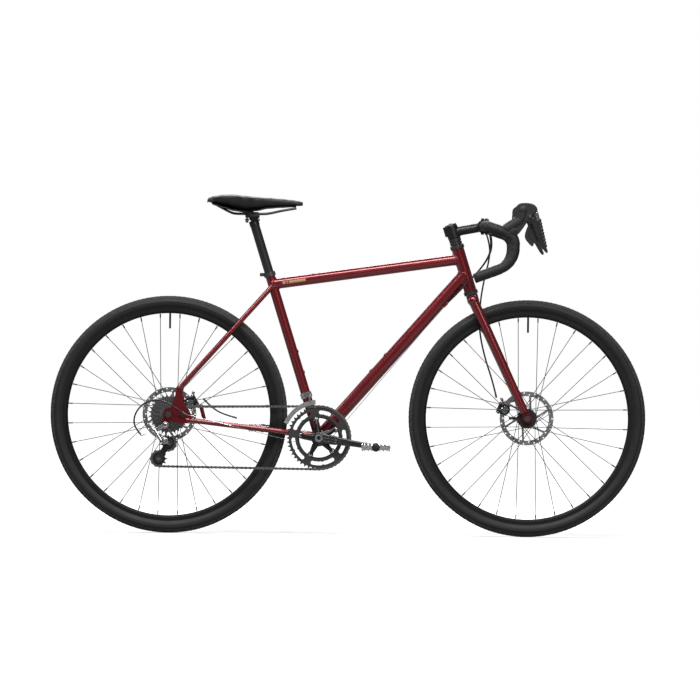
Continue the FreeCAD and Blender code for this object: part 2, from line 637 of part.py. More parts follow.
def lever_and_paddle(name, side):
    y = side * BAR_HALF
    blade = slab(LEVER, y - LEVER_HALF, y + LEVER_HALF)
    hub = disc_y(LEVER_PIVOT[0], LEVER_PIVOT[1], 8.0, y - LEVER_HALF, y + LEVER_HALF)
    head = paddle_point(side, -2.5)
    y0, y1 = sorted([y - side * (PADDLE_AXIS_Y + 1), y - side * (LEVER_HALF - 1)])
    bridge = block(head.x - 2, head.x + 2, y0, y1, head.z - 1.4, head.z + 3.6)
    ear = rod(paddle_point(side, -6), paddle_point(side, 1.6), PADDLE_BARREL_R)
    pin = rod(paddle_point(side, 0), paddle_point(side, 15), PADDLE_PIN_R)
    lever = fuse([blade, hub, bridge, ear, pin])
    lever = lever.cut(disc_y(LEVER_PIVOT[0], LEVER_PIVOT[1], LEVER_PIN_R + RUN_GAP, y - 20, y + 20))
    save("brake_lever_" + name, [lever])
    y0, y1 = sorted([y - side * PADDLE_FAR, y - side * PADDLE_NEAR])
    ear_room = rod(paddle_point(side, -8), paddle_point(side, 2), PADDLE_BARREL_R + SIDE_GAP)
    barrel = rod(paddle_point(side, 2), paddle_point(side, 16), PADDLE_BARREL_R)
    paddle = fuse([slab(PADDLE, y0, y1).cut(ear_room), barrel])
    bore = rod(paddle_point(side, -1), paddle_point(side, 17), PADDLE_PIN_R + RUN_GAP)
    save("shift_paddle_" + name, [paddle.cut(bore)])


# ---- brakes --------------------------------------------------------------------------------------------
REAR_ROTOR_Y = REAR_OLD / 2 - REAR_ROTOR_INSET
FRONT_ROTOR_Y = FRONT_OLD / 2 - FRONT_ROTOR_INSET
CALIPER_NEAR = ROTOR_R - 22.0
CALIPER_FAR = ROTOR_R + 12.0
CALIPER_PIVOT_R = ROTOR_R - 10.0
ARM_PIVOT_R = 4.0
CALIPER_HALF = 18.0
CALIPER_DEPTH = 13.5
PAD_GAP = 0.7
ARM_LENGTH = 38.0
# axle x, rotor y, bearing of the caliper from the axle, way the arm points
REAR_CALIPER = (REAR_X, REAR_ROTOR_Y, 28.9, 75.0)
FRONT_CALIPER = (FRONT_X, FRONT_ROTOR_Y, 158.6, 105.0)


def polar(x, angle, r):
    a = math.radians(angle)
    return (x + r * math.cos(a), AXLE_Z + r * math.sin(a))


def caliper_block(spec):
    x, y, bearing = spec[:3]
    body = block(CALIPER_NEAR, CALIPER_FAR, y - CALIPER_DEPTH, y + CALIPER_DEPTH, -CALIPER_HALF, CALIPER_HALF)
    body.rotate(V(0, 0, 0), Y_AXIS, -bearing)
    body.translate(V(x, 0, AXLE_Z))
    return body


def caliper(name, spec):
    x, y, bearing, way = spec
    gap = ROTOR_THICK / 2 + PAD_GAP
    slot = disc_y(x, AXLE_Z, ROTOR_R + 2.5, y - gap, y + gap)
    px, pz = polar(x, bearing, CALIPER_PIVOT_R)
    face = y + CALIPER_DEPTH
    pivot = disc_y(px, pz, ARM_PIVOT_R, face, face + 7.5)
    save(name + "_caliper", [fuse([caliper_block(spec).cut(slot), pivot])])
    hub = disc_y(px, pz, 9.0, face + SIDE_GAP, face + 6)
    a = math.radians(way)
    tip = (px + ARM_LENGTH * math.cos(a), pz + ARM_LENGTH * math.sin(a))
    arm = flat_bar((px, pz), tip, 4.5, face + SIDE_GAP, face + 6)
    bore = disc_y(px, pz, ARM_PIVOT_R + RUN_GAP, face - 1, face + 9)
    save(name + "_caliper_arm", [fuse([hub, arm]).cut(bore)])


# ---- wheels --------------------------------------------------------------------------------------------
FLANGE_R = 29.0
SPOKE_CIRCLE_R = 26.0
FLANGE_HALF = 1.3
SPOKE_OFFSET = 3.9
FLANGE_CONE = 2.6
HUB_BODY_R = 15.0
ROTOR_SEAT_R = 25.0
RIM_SPOKE_Y = 3.0
NIPPLE_R = 2.0
NIPPLE_LENGTH = 12.0
VALVE_LENGTH = 45.0
ROTOR_TRACK = 14.0
ROTOR_HOLES = 15         # in each of two rings
ROTOR_HOLE_R = 2.1


def rim_and_tyre(name, x):
    t = RIM_WALL
    w = RIM_HALF_WIDTH
    floor_r = RIM_SEAT_R - t - 2
    rim = turned(x, AXLE_Z, [(RIM_INNER_R, -6), (RIM_INNER_R + 6, -w), (RIM_FLANGE_R, -w),
                             (RIM_FLANGE_R, -w + t), (RIM_SEAT_R, -w + t), (RIM_SEAT_R - 2, -4),
                             (RIM_SEAT_R - 2, 4), (RIM_SEAT_R, w - t), (RIM_FLANGE_R, w - t),
                             (RIM_FLANGE_R, w), (RIM_INNER_R + 6, w), (RIM_INNER_R, 6)])
    hollow = turned(x, AXLE_Z, [(RIM_INNER_R + 2, -5), (RIM_INNER_R + 6, -w + t), (floor_r, -w + t),
                                (floor_r, w - t), (RIM_INNER_R + 6, w - t), (RIM_INNER_R + 2, 5)])
    valve = rod(V(x, 0, AXLE_Z + RIM_INNER_R - VALVE_LENGTH), V(x, 0, AXLE_Z + RIM_INNER_R - 0.05), 3.0)
    save(name + "_rim", [rim.cut(hollow), valve])
    centre_r = TYRE_R - TYRE_SECTION_R
    bead_y = w - t - 0.1
    neck_r = RIM_FLANGE_R + 0.5
    outer_y = math.sqrt(TYRE_SECTION_R ** 2 - (centre_r - neck_r) ** 2)
    inner_r = TYRE_SECTION_R - TYRE_WALL
    inner_y = bead_y - TYRE_WALL
    inner_neck = centre_r - math.sqrt(inner_r ** 2 - inner_y ** 2)

    def at(r, y):
        return V(x + r, y, AXLE_Z)

    edges = [Part.Arc(at(neck_r, outer_y), at(TYRE_R, 0), at(neck_r, -outer_y)).toShape(),
             Part.LineSegment(at(neck_r, -outer_y), at(neck_r, -bead_y)).toShape(),
             Part.LineSegment(at(neck_r, -bead_y), at(RIM_SEAT_R + 0.2, -bead_y)).toShape(),
             Part.LineSegment(at(RIM_SEAT_R + 0.2, -bead_y), at(RIM_SEAT_R + 0.2, -inner_y)).toShape(),
             Part.LineSegment(at(RIM_SEAT_R + 0.2, -inner_y), at(inner_neck, -inner_y)).toShape(),
             Part.Arc(at(inner_neck, -inner_y), at(centre_r + inner_r, 0), at(inner_neck, inner_y)).toShape(),
             Part.LineSegment(at(inner_neck, inner_y), at(RIM_SEAT_R + 0.2, inner_y)).toShape(),
             Part.LineSegment(at(RIM_SEAT_R + 0.2, inner_y), at(RIM_SEAT_R + 0.2, bead_y)).toShape(),
             Part.LineSegment(at(RIM_SEAT_R + 0.2, bead_y), at(neck_r, bead_y)).toShape(),
             Part.LineSegment(at(neck_r, bead_y), at(neck_r, outer_y)).toShape()]
    face = Part.Face(Part.Wire(edges))
    save(name + "_tyre", [face.revolve(V(x, 0, AXLE_Z), Y_AXIS, 360)])


def spokes(name, x, left_flange, right_flange):
    solids = []
    swing = 360.0 * SPOKE_CROSSES / (SPOKE_COUNT / 2)
    for k in range(SPOKE_COUNT):
        rim_angle = (k + 0.5) * 360.0 / SPOKE_COUNT
        leading = 1 if (k // 2) % 2 == 0 else -1
        flange_y = left_flange if k % 2 == 0 else right_flange
        side = 1 if k % 2 == 0 else -1
        hx, hz = polar(x, rim_angle + leading * swing, SPOKE_CIRCLE_R)
        rx, rz = polar(x, rim_angle, RIM_INNER_R - 0.8)
        hub_point = V(hx, flange_y + leading * SPOKE_OFFSET, hz)
        rim_point = V(rx, side * RIM_SPOKE_Y, rz)
        way = (hub_point - rim_point).normalize()
        nipple_end = rim_point + way * NIPPLE_LENGTH
        solids.append(fuse([rod(rim_point, nipple_end, NIPPLE_R), rod(nipple_end, hub_point, SPOKE_R)]))
    save(name + "_spokes", solids)


def hub(name, x, left_flange, right_flange, left_end, right_end, rotor_y):
    seat_y = rotor_y - ROTOR_THICK / 2
    cone = FLANGE_HALF + FLANGE_CONE
    section = [(AXLE_R + RUN_GAP, right_end), (HUB_BODY_R, right_end),
               (HUB_BODY_R, right_flange - FLANGE_HALF), (FLANGE_R, right_flange - FLANGE_HALF),
               (FLANGE_R, right_flange + FLANGE_HALF),
               (HUB_BODY_R, right_flange + cone), (HUB_BODY_R, left_flange - cone),
               (FLANGE_R, left_flange - FLANGE_HALF), (FLANGE_R, left_flange + FLANGE_HALF),
               (20.0, left_flange + cone), (ROTOR_SEAT_R, seat_y - 4), (ROTOR_SEAT_R, seat_y),
               (HUB_BODY_R, seat_y), (HUB_BODY_R, left_end), (AXLE_R + RUN_GAP, left_end)]
    save(name + "_hub", [turned(x, AXLE_Z, section)])


def rotor(name, x, y):
    y0 = y - ROTOR_THICK / 2
    y1 = y + ROTOR_THICK / 2
    track = ring_y(x, AXLE_Z, ROTOR_R, ROTOR_R - ROTOR_TRACK, y0, y1)
    for i in range(2 * ROTOR_HOLES):
        inset = ROTOR_TRACK * (0.3 + 0.4 * (i % 2))
        hx, hz = polar(x, 360.0 * i / (2 * ROTOR_HOLES), ROTOR_R - inset)
        track = track.cut(disc_y(hx, hz, ROTOR_HOLE_R, y0 - 1, y1 + 1))
    pieces = [track, ring_y(x, AXLE_Z, 27.0, HUB_BODY_R + 0.1, y0, y1)]
    for i in range(6):
        inner = polar(x, 60 * i, 24.0)
        outer = polar(x, 60 * i + 22, ROTOR_R - ROTOR_TRACK + 1.5)
        pieces.append(flat_bar(inner, outer, 3.0, y0, y1))
    bolts = []
    for i in range(6):
        bx, bz = polar(x, 60 * i + 30, 22.0)
        bolts.append(disc_y(bx, bz, 3.5, y1, y1 + 2.2))
    save(name + "_rotor", [fuse(pieces)] + bolts)


def axle(name, x, old):
    """The fixed axle with its locknuts, skewer nut and lever clevis, and the quick-release lever."""
    face = old / 2 + DROPOUT_THICK
    pivot_y = face + 7.5
    rod_part = fuse([disc_y(x, AXLE_Z, AXLE_R, -face - 3, face + 2),
                     disc_y(x, AXLE_Z, 8.0, old / 2 - 3.2, old / 2 - 0.02),
                     disc_y(x, AXLE_Z, 8.0, -old / 2 + 0.02, -old / 2 + 0.8),
                     disc_y(x, AXLE_Z, 9.0, -face - 10, -face - 0.1)])
    clevis = block(x - 7, x + 7, face + 0.1, face + 13.5, AXLE_Z - 9, AXLE_Z + 9)
    clevis = clevis.cut(block(x - 8, x + 8, face + 2, face + 14, AXLE_Z - 4.3, AXLE_Z + 4.3))
    pin = rod(V(x, pivot_y, AXLE_Z - 9), V(x, pivot_y, AXLE_Z + 9), 3.0)
    save(name + "_axle", [fuse([rod_part, clevis, pin])])
    hub_part = rod(V(x, pivot_y, AXLE_Z - 4), V(x, pivot_y, AXLE_Z + 4), 5.0)
    handle = block(x - 56, x, pivot_y - 2.5, pivot_y + 2.5, AXLE_Z - 4, AXLE_Z + 4)
    bore = rod(V(x, pivot_y, AXLE_Z - 10), V(x, pivot_y, AXLE_Z + 10), 3.0 + RUN_GAP)
    save(name + "_qr_lever", [fuse([hub_part, handle]).cut(bore)])


def wheels():
    front_flanges = (FRONT_ROTOR_Y - 17.5, -FRONT_OLD / 2 + 15.0)
    rear_flanges = (REAR_ROTOR_Y - 18.2, OUTER_SPROCKET_Y + 42.0)
    rim_and_tyre("front", FRONT_X)
    rim_and_tyre("rear", REAR_X)
    spokes("front", FRONT_X, *front_flanges)
    spokes("rear", REAR_X, *rear_flanges)
    hub("front", FRONT_X, *front_flanges, FRONT_OLD / 2 - 3.6, -FRONT_OLD / 2 + 1.2, FRONT_ROTOR_Y)
    hub("rear", REAR_X, *rear_flanges, REAR_OLD / 2 - 3.6, rear_flanges[1] - 4, REAR_ROTOR_Y)
    rotor("front", FRONT_X, FRONT_ROTOR_Y)
    rotor("rear", REAR_X, REAR_ROTOR_Y)
    axle("front", FRONT_X, FRONT_OLD)
    axle("rear", REAR_X, REAR_OLD)


# ---- chain ---------------------------------------------------------------------------------------------
PLATE_R = 4.1
INNER_PLATE = (1.25, 2.15)
OUTER_PLATE = (2.35, 3.25)
PIN_R = 1.7
PIN_BORE_R = 1.85
PULLEY_START_ANGLE = -120.0


class ChainWheel:
    def __init__(self, x, z, teeth, sense, y):
        self.x = x
        self.z = z
        self.teeth = teeth
        self.sense = sense
        self.y = y
        self.r = pitch_radius(teeth)


def tangent(first, second):
    """Leaving and arriving points of the straight run between two wheels, as angles and a length."""
    dx = second.x - first.x
    dz = second.z - first.z
    offset = second.sense * second.r - first.sense * first.r
    length = math.sqrt(dx * dx + dz * dz - offset * offset)
    way = math.atan2(dz, dx) - math.atan2(offset, length)
    return way, length


def wheels_at(cage_angle):
    a = math.radians(cage_angle)
    return [ChainWheel(BB_X, BB_Z, BIG_TEETH, 1, BIG_RING_Y),
            ChainWheel(REAR_X, AXLE_Z, SPROCKETS[0], 1, OUTER_SPROCKET_Y),
            ChainWheel(GUIDE_X, GUIDE_Z, PULLEY_TEETH, -1, OUTER_SPROCKET_Y),
            ChainWheel(GUIDE_X + PULLEY_SPACING * math.cos(a), GUIDE_Z + PULLEY_SPACING * math.sin(a),
                       PULLEY_TEETH, 1, OUTER_SPROCKET_Y)]


def touch_angle(wheel, way):
    """Angle on the wheel where a run in direction way touches it."""
    return way - wheel.sense * math.pi / 2


def loop_parts(cage_angle):
    """The loop as runs and wraps, each with its length in pitches."""
    ring = wheels_at(cage_angle)
    runs = [tangent(ring[i], ring[(i + 1) % 4]) for i in range(4)]
    parts = []
    for i in range(4):
        wheel = ring[(i + 1) % 4]
        arrive = touch_angle(wheel, runs[i][0])
        leave = touch_angle(wheel, runs[(i + 1) % 4][0])
        wrap = (wheel.sense * (leave - arrive)) % (2 * math.pi)
        parts.append(("run", ring[i], wheel, runs[i][0], runs[i][1] / CHAIN_PITCH))
        parts.append(("wrap", wheel, wheel, arrive, wrap * wheel.teeth / (2 * math.pi)))
    return parts


def loop_pitches(cage_angle):
    return sum(part[4] for part in loop_parts(cage_angle))


def solve_cage_angle():
    """The cage swings until the loop is a whole, even number of links."""
    target = 2 * round(loop_pitches(PULLEY_START_ANGLE) / 2)
    low = PULLEY_START_ANGLE - 30
    high = PULLEY_START_ANGLE + 30
    rising = loop_pitches(high) > loop_pitches(low)
    for _ in range(60):
        middle = (low + high) / 2
        if (loop_pitches(middle) > target) == rising:
            high = middle
        else:
            low = middle
    return middle, target


CAGE_ANGLE, LINK_COUNT = solve_cage_angle()
CHAIN_WHEELS = wheels_at(CAGE_ANGLE)
CHAIN_PARTS = loop_parts(CAGE_ANGLE)


def chain_point(pitches):
    """Where the chain's centreline is, that many pitches along the loop."""
    left = pitches
    for kind, first, second, angle, length in CHAIN_PARTS:
        if left <= length + 1e-9:
            if kind == "wrap":
                a = angle + first.sense * left * 2 * math.pi / first.teeth
                return V(first.x + first.r * math.cos(a), first.y, first.z + first.r * math.sin(a))
            start = touch_angle(first, angle)
            share = left / length
            eased = share * share * (3 - 2 * share)
            x = first.x + first.r * math.cos(start) + left * CHAIN_PITCH * math.cos(angle)
            z = first.z + first.r * math.sin(start) + left * CHAIN_PITCH * math.sin(angle)
            return V(x, first.y + eased * (second.y - first.y), z)
        left -= length
    return chain_point(left)


def wheel_phase(index):
    """Angle of one pitch point of the wheel at that place in the loop, so that its teeth mesh."""
    before = 0.0
    for kind, first, _, angle, length in CHAIN_PARTS:
        if kind == "wrap" and first is CHAIN_PARTS[2 * index - 1][1]:
            return angle + first.sense * (math.ceil(before) - before) * 2 * math.pi / first.teeth
        before += length
    return 0.0


def plate(y0, y1, bore):
    pieces = [disc_y(-CHAIN_PITCH / 2, 0, PLATE_R, y0, y1), disc_y(CHAIN_PITCH / 2, 0, PLATE_R, y0, y1),
              block(-CHAIN_PITCH / 2, CHAIN_PITCH / 2, y0, y1, -3.0, 3.0)]
    shape = fuse(pieces)
    if bore:
        for x in (-CHAIN_PITCH / 2, CHAIN_PITCH / 2):
            shape = shape.cut(disc_y(x, 0, bore, y0 - 1, y1 + 1))
    return shape


def chain():
    ends = (-CHAIN_PITCH / 2, CHAIN_PITCH / 2)
    inner = both_sides(plate(*INNER_PLATE, PIN_BORE_R))
    inner += [ring_y(x, 0, ROLLER_R, PIN_BORE_R, -INNER_PLATE[0], INNER_PLATE[0]) for x in ends]
    outer = both_sides(plate(*OUTER_PLATE, 0))
    outer += [disc_y(x, 0, PIN_R, -OUTER_PLATE[1] - 0.2, OUTER_PLATE[1] + 0.2) for x in ends]
    templates = [fuse(inner), fuse(outer)]
    links = []
    for i in range(LINK_COUNT):
        a = chain_point(i)
        b = chain_point(i + 1)
        along = (b - a).normalize()
        across = (Y_AXIS - along * Y_AXIS.dot(along)).normalize()
        turn = FreeCAD.Rotation(along, across, along.cross(across), "XYZ")
        link = templates[i % 2].copy()
        link.Placement = FreeCAD.Placement((a + b) * 0.5, turn)
        links.append(link)
    save("chain", links)


# ---- crankset and pedals -------------------------------------------------------------------------------
HUB_DISC_R = 30.0
HUB_DISC_FACE = 56.0
RING_BOLT_R = 4.0
RING_BOLT_HEAD_R = 5.5
SPIDER_INNER_Y = -41.2
SLOT_INNER_R = 70.0
SLOT_OUTER_R = 81.0
SLOT_SWEEP = 19.0
PEDAL_THREAD_R = 7.0
CRANK_OUTER_Y = CRANK_INNER_Y + CRANK_THICK
PEDAL_START_Y = CRANK_OUTER_Y + 6


def around_bb(angle, r):
    a = math.radians(angle)
    return (BB_X + r * math.cos(a), BB_Z + r * math.sin(a))


PEDAL_X, PEDAL_Z = around_bb(CRANK_ANGLE, CRANK_LENGTH)
SPIDER_ANGLES = [CRANK_ANGLE + 36 + 72 * i for i in range(5)]


def radial_bar(angle, inner, outer, half, y0, y1):
    return flat_bar(around_bb(angle, inner), around_bb(angle, outer), half, y0, y1)


def crank_arm(angle, inner_y, outer_y, hub_inner):
    end = around_bb(angle, CRANK_LENGTH)
    return fuse([disc_y(BB_X, BB_Z, 18.0, hub_inner, outer_y - 4), radial_bar(angle, 0, CRANK_LENGTH, 11.0,
                 inner_y, outer_y), disc_y(end[0], end[1], 13.0, inner_y, outer_y)])


def ring_slot(start):
    """A round-ended slot through the big chainring, between its bore and its teeth."""
    middle = (SLOT_INNER_R + SLOT_OUTER_R) / 2
    half = (SLOT_OUTER_R - SLOT_INNER_R) / 2
    y0 = BIG_RING_Y - 2
    y1 = BIG_RING_Y + 2
    pieces = [arc_plate(SLOT_INNER_R, SLOT_OUTER_R, start, start + SLOT_SWEEP, y0, y1)]
    for angle in (start, start + SLOT_SWEEP):
        pieces.append(disc_y(*around_bb(angle, middle), half, y0, y1))
    return fuse(pieces)


def crankset():
    bolts = []
    for angle in SPIDER_ANGLES:
        x, z = around_bb(angle, BOLT_CIRCLE_R)
        shank = disc_y(x, z, RING_BOLT_R, BIG_RING_Y - 1.05, SMALL_RING_Y + 1.0)
        head = disc_y(x, z, RING_BOLT_HEAD_R, BIG_RING_Y - 2.6, BIG_RING_Y - 1.05)
        bolts.append(fuse([shank, head]))
    holes = [disc_y(*around_bb(a, BOLT_CIRCLE_R), RING_BOLT_R + 0.1, -60, -30) for a in SPIDER_ANGLES]
    spindle = disc_y(BB_X, BB_Z, SPINDLE_R, -CRANK_OUTER_Y + 4, CRANK_OUTER_Y - 4)
    right = mirrored(crank_arm(CRANK_ANGLE, CRANK_INNER_Y, CRANK_OUTER_Y, HUB_DISC_FACE)).cut(spindle)
    spider = [disc_y(BB_X, BB_Z, HUB_DISC_R, -HUB_DISC_FACE, -BB_CUP_Y - 0.6)]
    for angle in SPIDER_ANGLES:
        spider.append(radial_bar(angle, 24, BOLT_CIRCLE_R + 7, 8.0, BIG_RING_Y + 1.05, SPIDER_INNER_Y))
        spider.append(radial_bar(angle, 20, 46, 8.0, -52, BIG_RING_Y + 1.05))
    spider = cut_all(fuse(spider), holes + [spindle])
    pedal_end_y = PEDAL_START_Y + 2 * PEDAL_HALF_WIDTH + 2
    pedal_right = disc_y(PEDAL_X, PEDAL_Z, PEDAL_THREAD_R, -pedal_end_y, -CRANK_OUTER_Y)
    left = crank_arm(CRANK_ANGLE + 180, CRANK_INNER_Y, CRANK_OUTER_Y, BB_CUP_Y + 0.6)
    left = left.cut(spindle)
    lx, lz = around_bb(CRANK_ANGLE + 180, CRANK_LENGTH)
    pedal_left = disc_y(lx, lz, PEDAL_THREAD_R, CRANK_OUTER_Y, pedal_end_y)
    save("crank_arms", [right, spider, spindle, pedal_right, left, pedal_left])
    big = toothed(BB_X, BB_Z, BIG_TEETH, wheel_phase(4), BIG_RING_Y, 2.0, 62.0)
    big = cut_all(big, [ring_slot(a + start) for a in SPIDER_ANGLES for start in (13, 40)])
    small = toothed(BB_X, BB_Z, SMALL_TEETH, 0.0, SMALL_RING_Y, 2.0, 58.0)
    for angle in SPIDER_ANGLES:
        x, z = around_bb(angle, BOLT_CIRCLE_R)
        big = big.fuse(disc_y(x, z, 9.0, BIG_RING_Y - 1, BIG_RING_Y + 1))
        small = small.fuse(disc_y(x, z, 8.5, SMALL_RING_Y - 1, SMALL_RING_Y + 1))
    big = cut_all(big.removeSplitter(), holes)
    small = cut_all(small.removeSplitter(), holes)
    save("chainrings", [big, small] + bolts)


def pedal(name, x, z, side):
    near = PEDAL_START_Y
    far = PEDAL_START_Y + 2 * PEDAL_HALF_WIDTH
    frame = block(x - 42, x + 42, near, far, z - 10, z + 10)
    for x0, x1 in ((-36, -15), (15, 36)):
        frame = frame.cut(block(x + x0, x + x1, near + 7, far - 7, z - 11, z + 11))
    bore = disc_y(x, z, PEDAL_THREAD_R + RUN_GAP, near - 1, far + 3)
    shape = fuse([frame, disc_y(x, z, 13.0, near, far)]).cut(bore)
    save(name, [shape if side > 0 else mirrored(shape)])


def pedals():
    lx, lz = around_bb(CRANK_ANGLE + 180, CRANK_LENGTH)
    pedal("pedal_right", PEDAL_X, PEDAL_Z, -1)
    pedal("pedal_left", lx, lz, 1)


# ---- sprockets -----------------------------------------------------------------------------------------
FREEHUB_R = 17.0
SPACER_R = 18.0


def cassette():
    x = REAR_X
    end = OUTER_SPROCKET_Y - 4.0
    start = OUTER_SPROCKET_Y + 7 * SPROCKET_PITCH + 1.5
    solids = []
    for i, teeth in enumerate(SPROCKETS):
        y = OUTER_SPROCKET_Y + i * SPROCKET_PITCH
        phase = wheel_phase(1) if i == 0 else 0.0
        solids.append(toothed(x, AXLE_Z, teeth, phase, y, SPROCKET_THICK, FREEHUB_R))
        if i + 1 < len(SPROCKETS):
            half = SPROCKET_THICK / 2
            solids.append(ring_y(x, AXLE_Z, SPACER_R, FREEHUB_R, y + half, y + SPROCKET_PITCH - half))
    lock_ring = ring_y(x, AXLE_Z, 17.5, 10.0, end, OUTER_SPROCKET_Y - SPROCKET_THICK / 2)
    solids.append(lock_ring)
    body = ring_y(x, AXLE_Z, FREEHUB_R, AXLE_R + RUN_GAP, OUTER_SPROCKET_Y - SPROCKET_THICK / 2, start)
    save("cassette", solids + [body])


# ---- derailleurs ---------------------------------------------------------------------------------------
CAGE_PIVOT = (GUIDE_X - 11.0, GUIDE_Z + 7.0)
CAGE_PIN_R = 4.0
CAGE_HALF_GAP = 4.6
CAGE_PLATE = 1.6
# The link hangs outward from the upper knuckle, and swings the lower one in and slightly down.
LINK_TOP = V(REAR_X - 30.0, -REAR_OLD / 2 - 12.5, AXLE_Z - 43.0)
LINK_BOTTOM = V(REAR_X - 10.0, -REAR_OLD / 2 - 28.5, AXLE_Z - 75.0)
LINK_AXIS = (LINK_BOTTOM - LINK_TOP).cross(V(0, 1, -0.5)).normalize()
LINK_OFFSET = 10.5
LINK_BAR_R = 4.0
LINK_PIN_R = 2.0
KNUCKLE_EAR_R = 6.0


def link_pin(at, r):
    return rod(at - LINK_AXIS * 15, at, r)


def rear_derailleur():
    outer = -REAR_OLD / 2 - DROPOUT_THICK
    bolt = disc_y(HANGER[0], HANGER[1], HANGER_BORE_R - RUN_GAP, outer - 16, outer + DROPOUT_THICK)
    upper_disc = disc_y(HANGER[0], HANGER[1], 10.0, outer - 16, outer - SIDE_GAP)
    ear = rod(V(HANGER[0], LINK_TOP.y, HANGER[1]), LINK_TOP, KNUCKLE_EAR_R)
    ear_end = Part.makeSphere(KNUCKLE_EAR_R, LINK_TOP)
    save("derailleur_knuckle", [fuse([bolt, upper_disc, ear, ear_end, link_pin(LINK_TOP, LINK_PIN_R)])])
    a = LINK_TOP - LINK_AXIS * LINK_OFFSET
    b = LINK_BOTTOM - LINK_AXIS * LINK_OFFSET
    bar = fuse([rod(a, b, LINK_BAR_R), Part.makeSphere(LINK_BAR_R, a), Part.makeSphere(LINK_BAR_R, b)])
    bores = [rod(at - LINK_AXIS * 20, at, LINK_PIN_R + RUN_GAP) for at in (LINK_TOP, LINK_BOTTOM)]
    save("derailleur_link", [cut_all(bar, bores)])
    y = OUTER_SPROCKET_Y
    cage_face = y - CAGE_HALF_GAP - CAGE_PLATE
    drum_end = -REAR_OLD / 2 - 20.5
    drum = disc_y(CAGE_PIVOT[0], CAGE_PIVOT[1], 10.0, drum_end, cage_face - 1 - SIDE_GAP)
    cage_pin = disc_y(CAGE_PIVOT[0], CAGE_PIVOT[1], CAGE_PIN_R, drum_end, y - CAGE_HALF_GAP - 0.1)
    arm = rod(LINK_BOTTOM, V(CAGE_PIVOT[0], drum_end + 4, CAGE_PIVOT[1]), KNUCKLE_EAR_R)
    arm_end = Part.makeSphere(KNUCKLE_EAR_R, LINK_BOTTOM)
    pin = link_pin(LINK_BOTTOM, LINK_PIN_R)
    save("derailleur_lower_knuckle", [fuse([drum, cage_pin, arm, arm_end, pin])])
    guide = CHAIN_WHEELS[2]
    tension = CHAIN_WHEELS[3]
    plates = []
    for side in (-1, 1):
        y0 = y + side * CAGE_HALF_GAP
        y0, y1 = sorted([y0, y0 + side * CAGE_PLATE])
        plates.append(disc_y(guide.x, guide.z, 12.0, y0, y1))
        plates.append(disc_y(tension.x, tension.z, 12.0, y0, y1))
        plates.append(flat_bar((guide.x, guide.z), (tension.x, tension.z), 9.0, y0, y1))
    plates.append(disc_y(CAGE_PIVOT[0], CAGE_PIVOT[1], 9.0, cage_face - 1, y - CAGE_HALF_GAP))
    for wheel in (guide, tension):
        plates.append(disc_y(wheel.x, wheel.z, 2.5, y - CAGE_HALF_GAP - 0.5, y + CAGE_HALF_GAP + 0.5))
    cage_bore = disc_y(CAGE_PIVOT[0], CAGE_PIVOT[1], CAGE_PIN_R + RUN_GAP, -100, y - CAGE_HALF_GAP)
    save("derailleur_cage", [fuse(plates).cut(cage_bore)])
    for name, index in (("guide_pulley", 2), ("tension_pulley", 3)):
        wheel = CHAIN_WHEELS[index]
        save(name, [toothed(wheel.x, wheel.z, PULLEY_TEETH, wheel_phase(index), y, 1.8, 2.5 + RUN_GAP)])


CAGE_ARC = (96.0, 157.0)


def arc_plate(inner, outer, first, last, y0, y1):
    ring = ring_y(BB_X, BB_Z, outer, inner, y0, y1)
    far = 3 * outer
    corners = [(BB_X, BB_Z)]
    steps = 6
    for i in range(steps + 1):
        corners.append(around_bb(first + (last - first) * i / steps, far))
    return ring.common(slab(corners, y0 - 1, y1 + 1))


FD_PIN_R = 2.5
FD_PIN_Y = -40.0
FD_PIN_Z = BB_Z + 125.0
FD_HALF = 8.0
FD_INNER_R = pitch_radius(BIG_TEETH) + 6.4
FD_OUTER_R = FD_INNER_R + 13.5


def front_derailleur():
    at = on_seat(FD_PIN_Z)
    clamp = pipe(at - SEAT_UP * 8, at + SEAT_UP * 8, SEAT_TUBE_R + 3, SEAT_TUBE_R)
    arm = block(at.x - FD_HALF, at.x + FD_HALF, FD_PIN_Y - 5, -SEAT_TUBE_R, at.z - 6, at.z + 8).cut(seat_core)
    front = at.x + FD_HALF
    pin = rod(V(front, FD_PIN_Y, FD_PIN_Z), V(front + 6, FD_PIN_Y, FD_PIN_Z), FD_PIN_R)
    save("front_derailleur", [fuse([clamp, arm, pin])])
    y_out = BIG_RING_Y - 5.4
    y_in = BIG_RING_Y + 4.4
    first, last = CAGE_ARC
    outer = arc_plate(FD_INNER_R, FD_OUTER_R, first, last, y_out - 1.2, y_out)
    inner = arc_plate(FD_INNER_R, FD_OUTER_R, first, last, y_in, y_in + 1.2)
    bridge = arc_plate(FD_OUTER_R - 4, FD_OUTER_R, first, first + 11, y_out - 1.2, y_in + 1.2)
    tail = arc_plate(FD_INNER_R, FD_INNER_R + 3.5, last - 6, last, y_out - 1.2, y_in + 1.2)
    ear = block(front + SIDE_GAP, front + SIDE_GAP + 4, FD_PIN_Y - 6, FD_PIN_Y + 5,
                FD_PIN_Z - 18, FD_PIN_Z + 6)
    bore = rod(V(front - 1, FD_PIN_Y, FD_PIN_Z), V(front + 9, FD_PIN_Y, FD_PIN_Z), FD_PIN_R + RUN_GAP)
    save("front_derailleur_cage", [fuse([outer, inner, bridge, tail, ear]).cut(bore)])


# ---- cables --------------------------------------------------------------------------------------------
HOUSING_R = 2.5


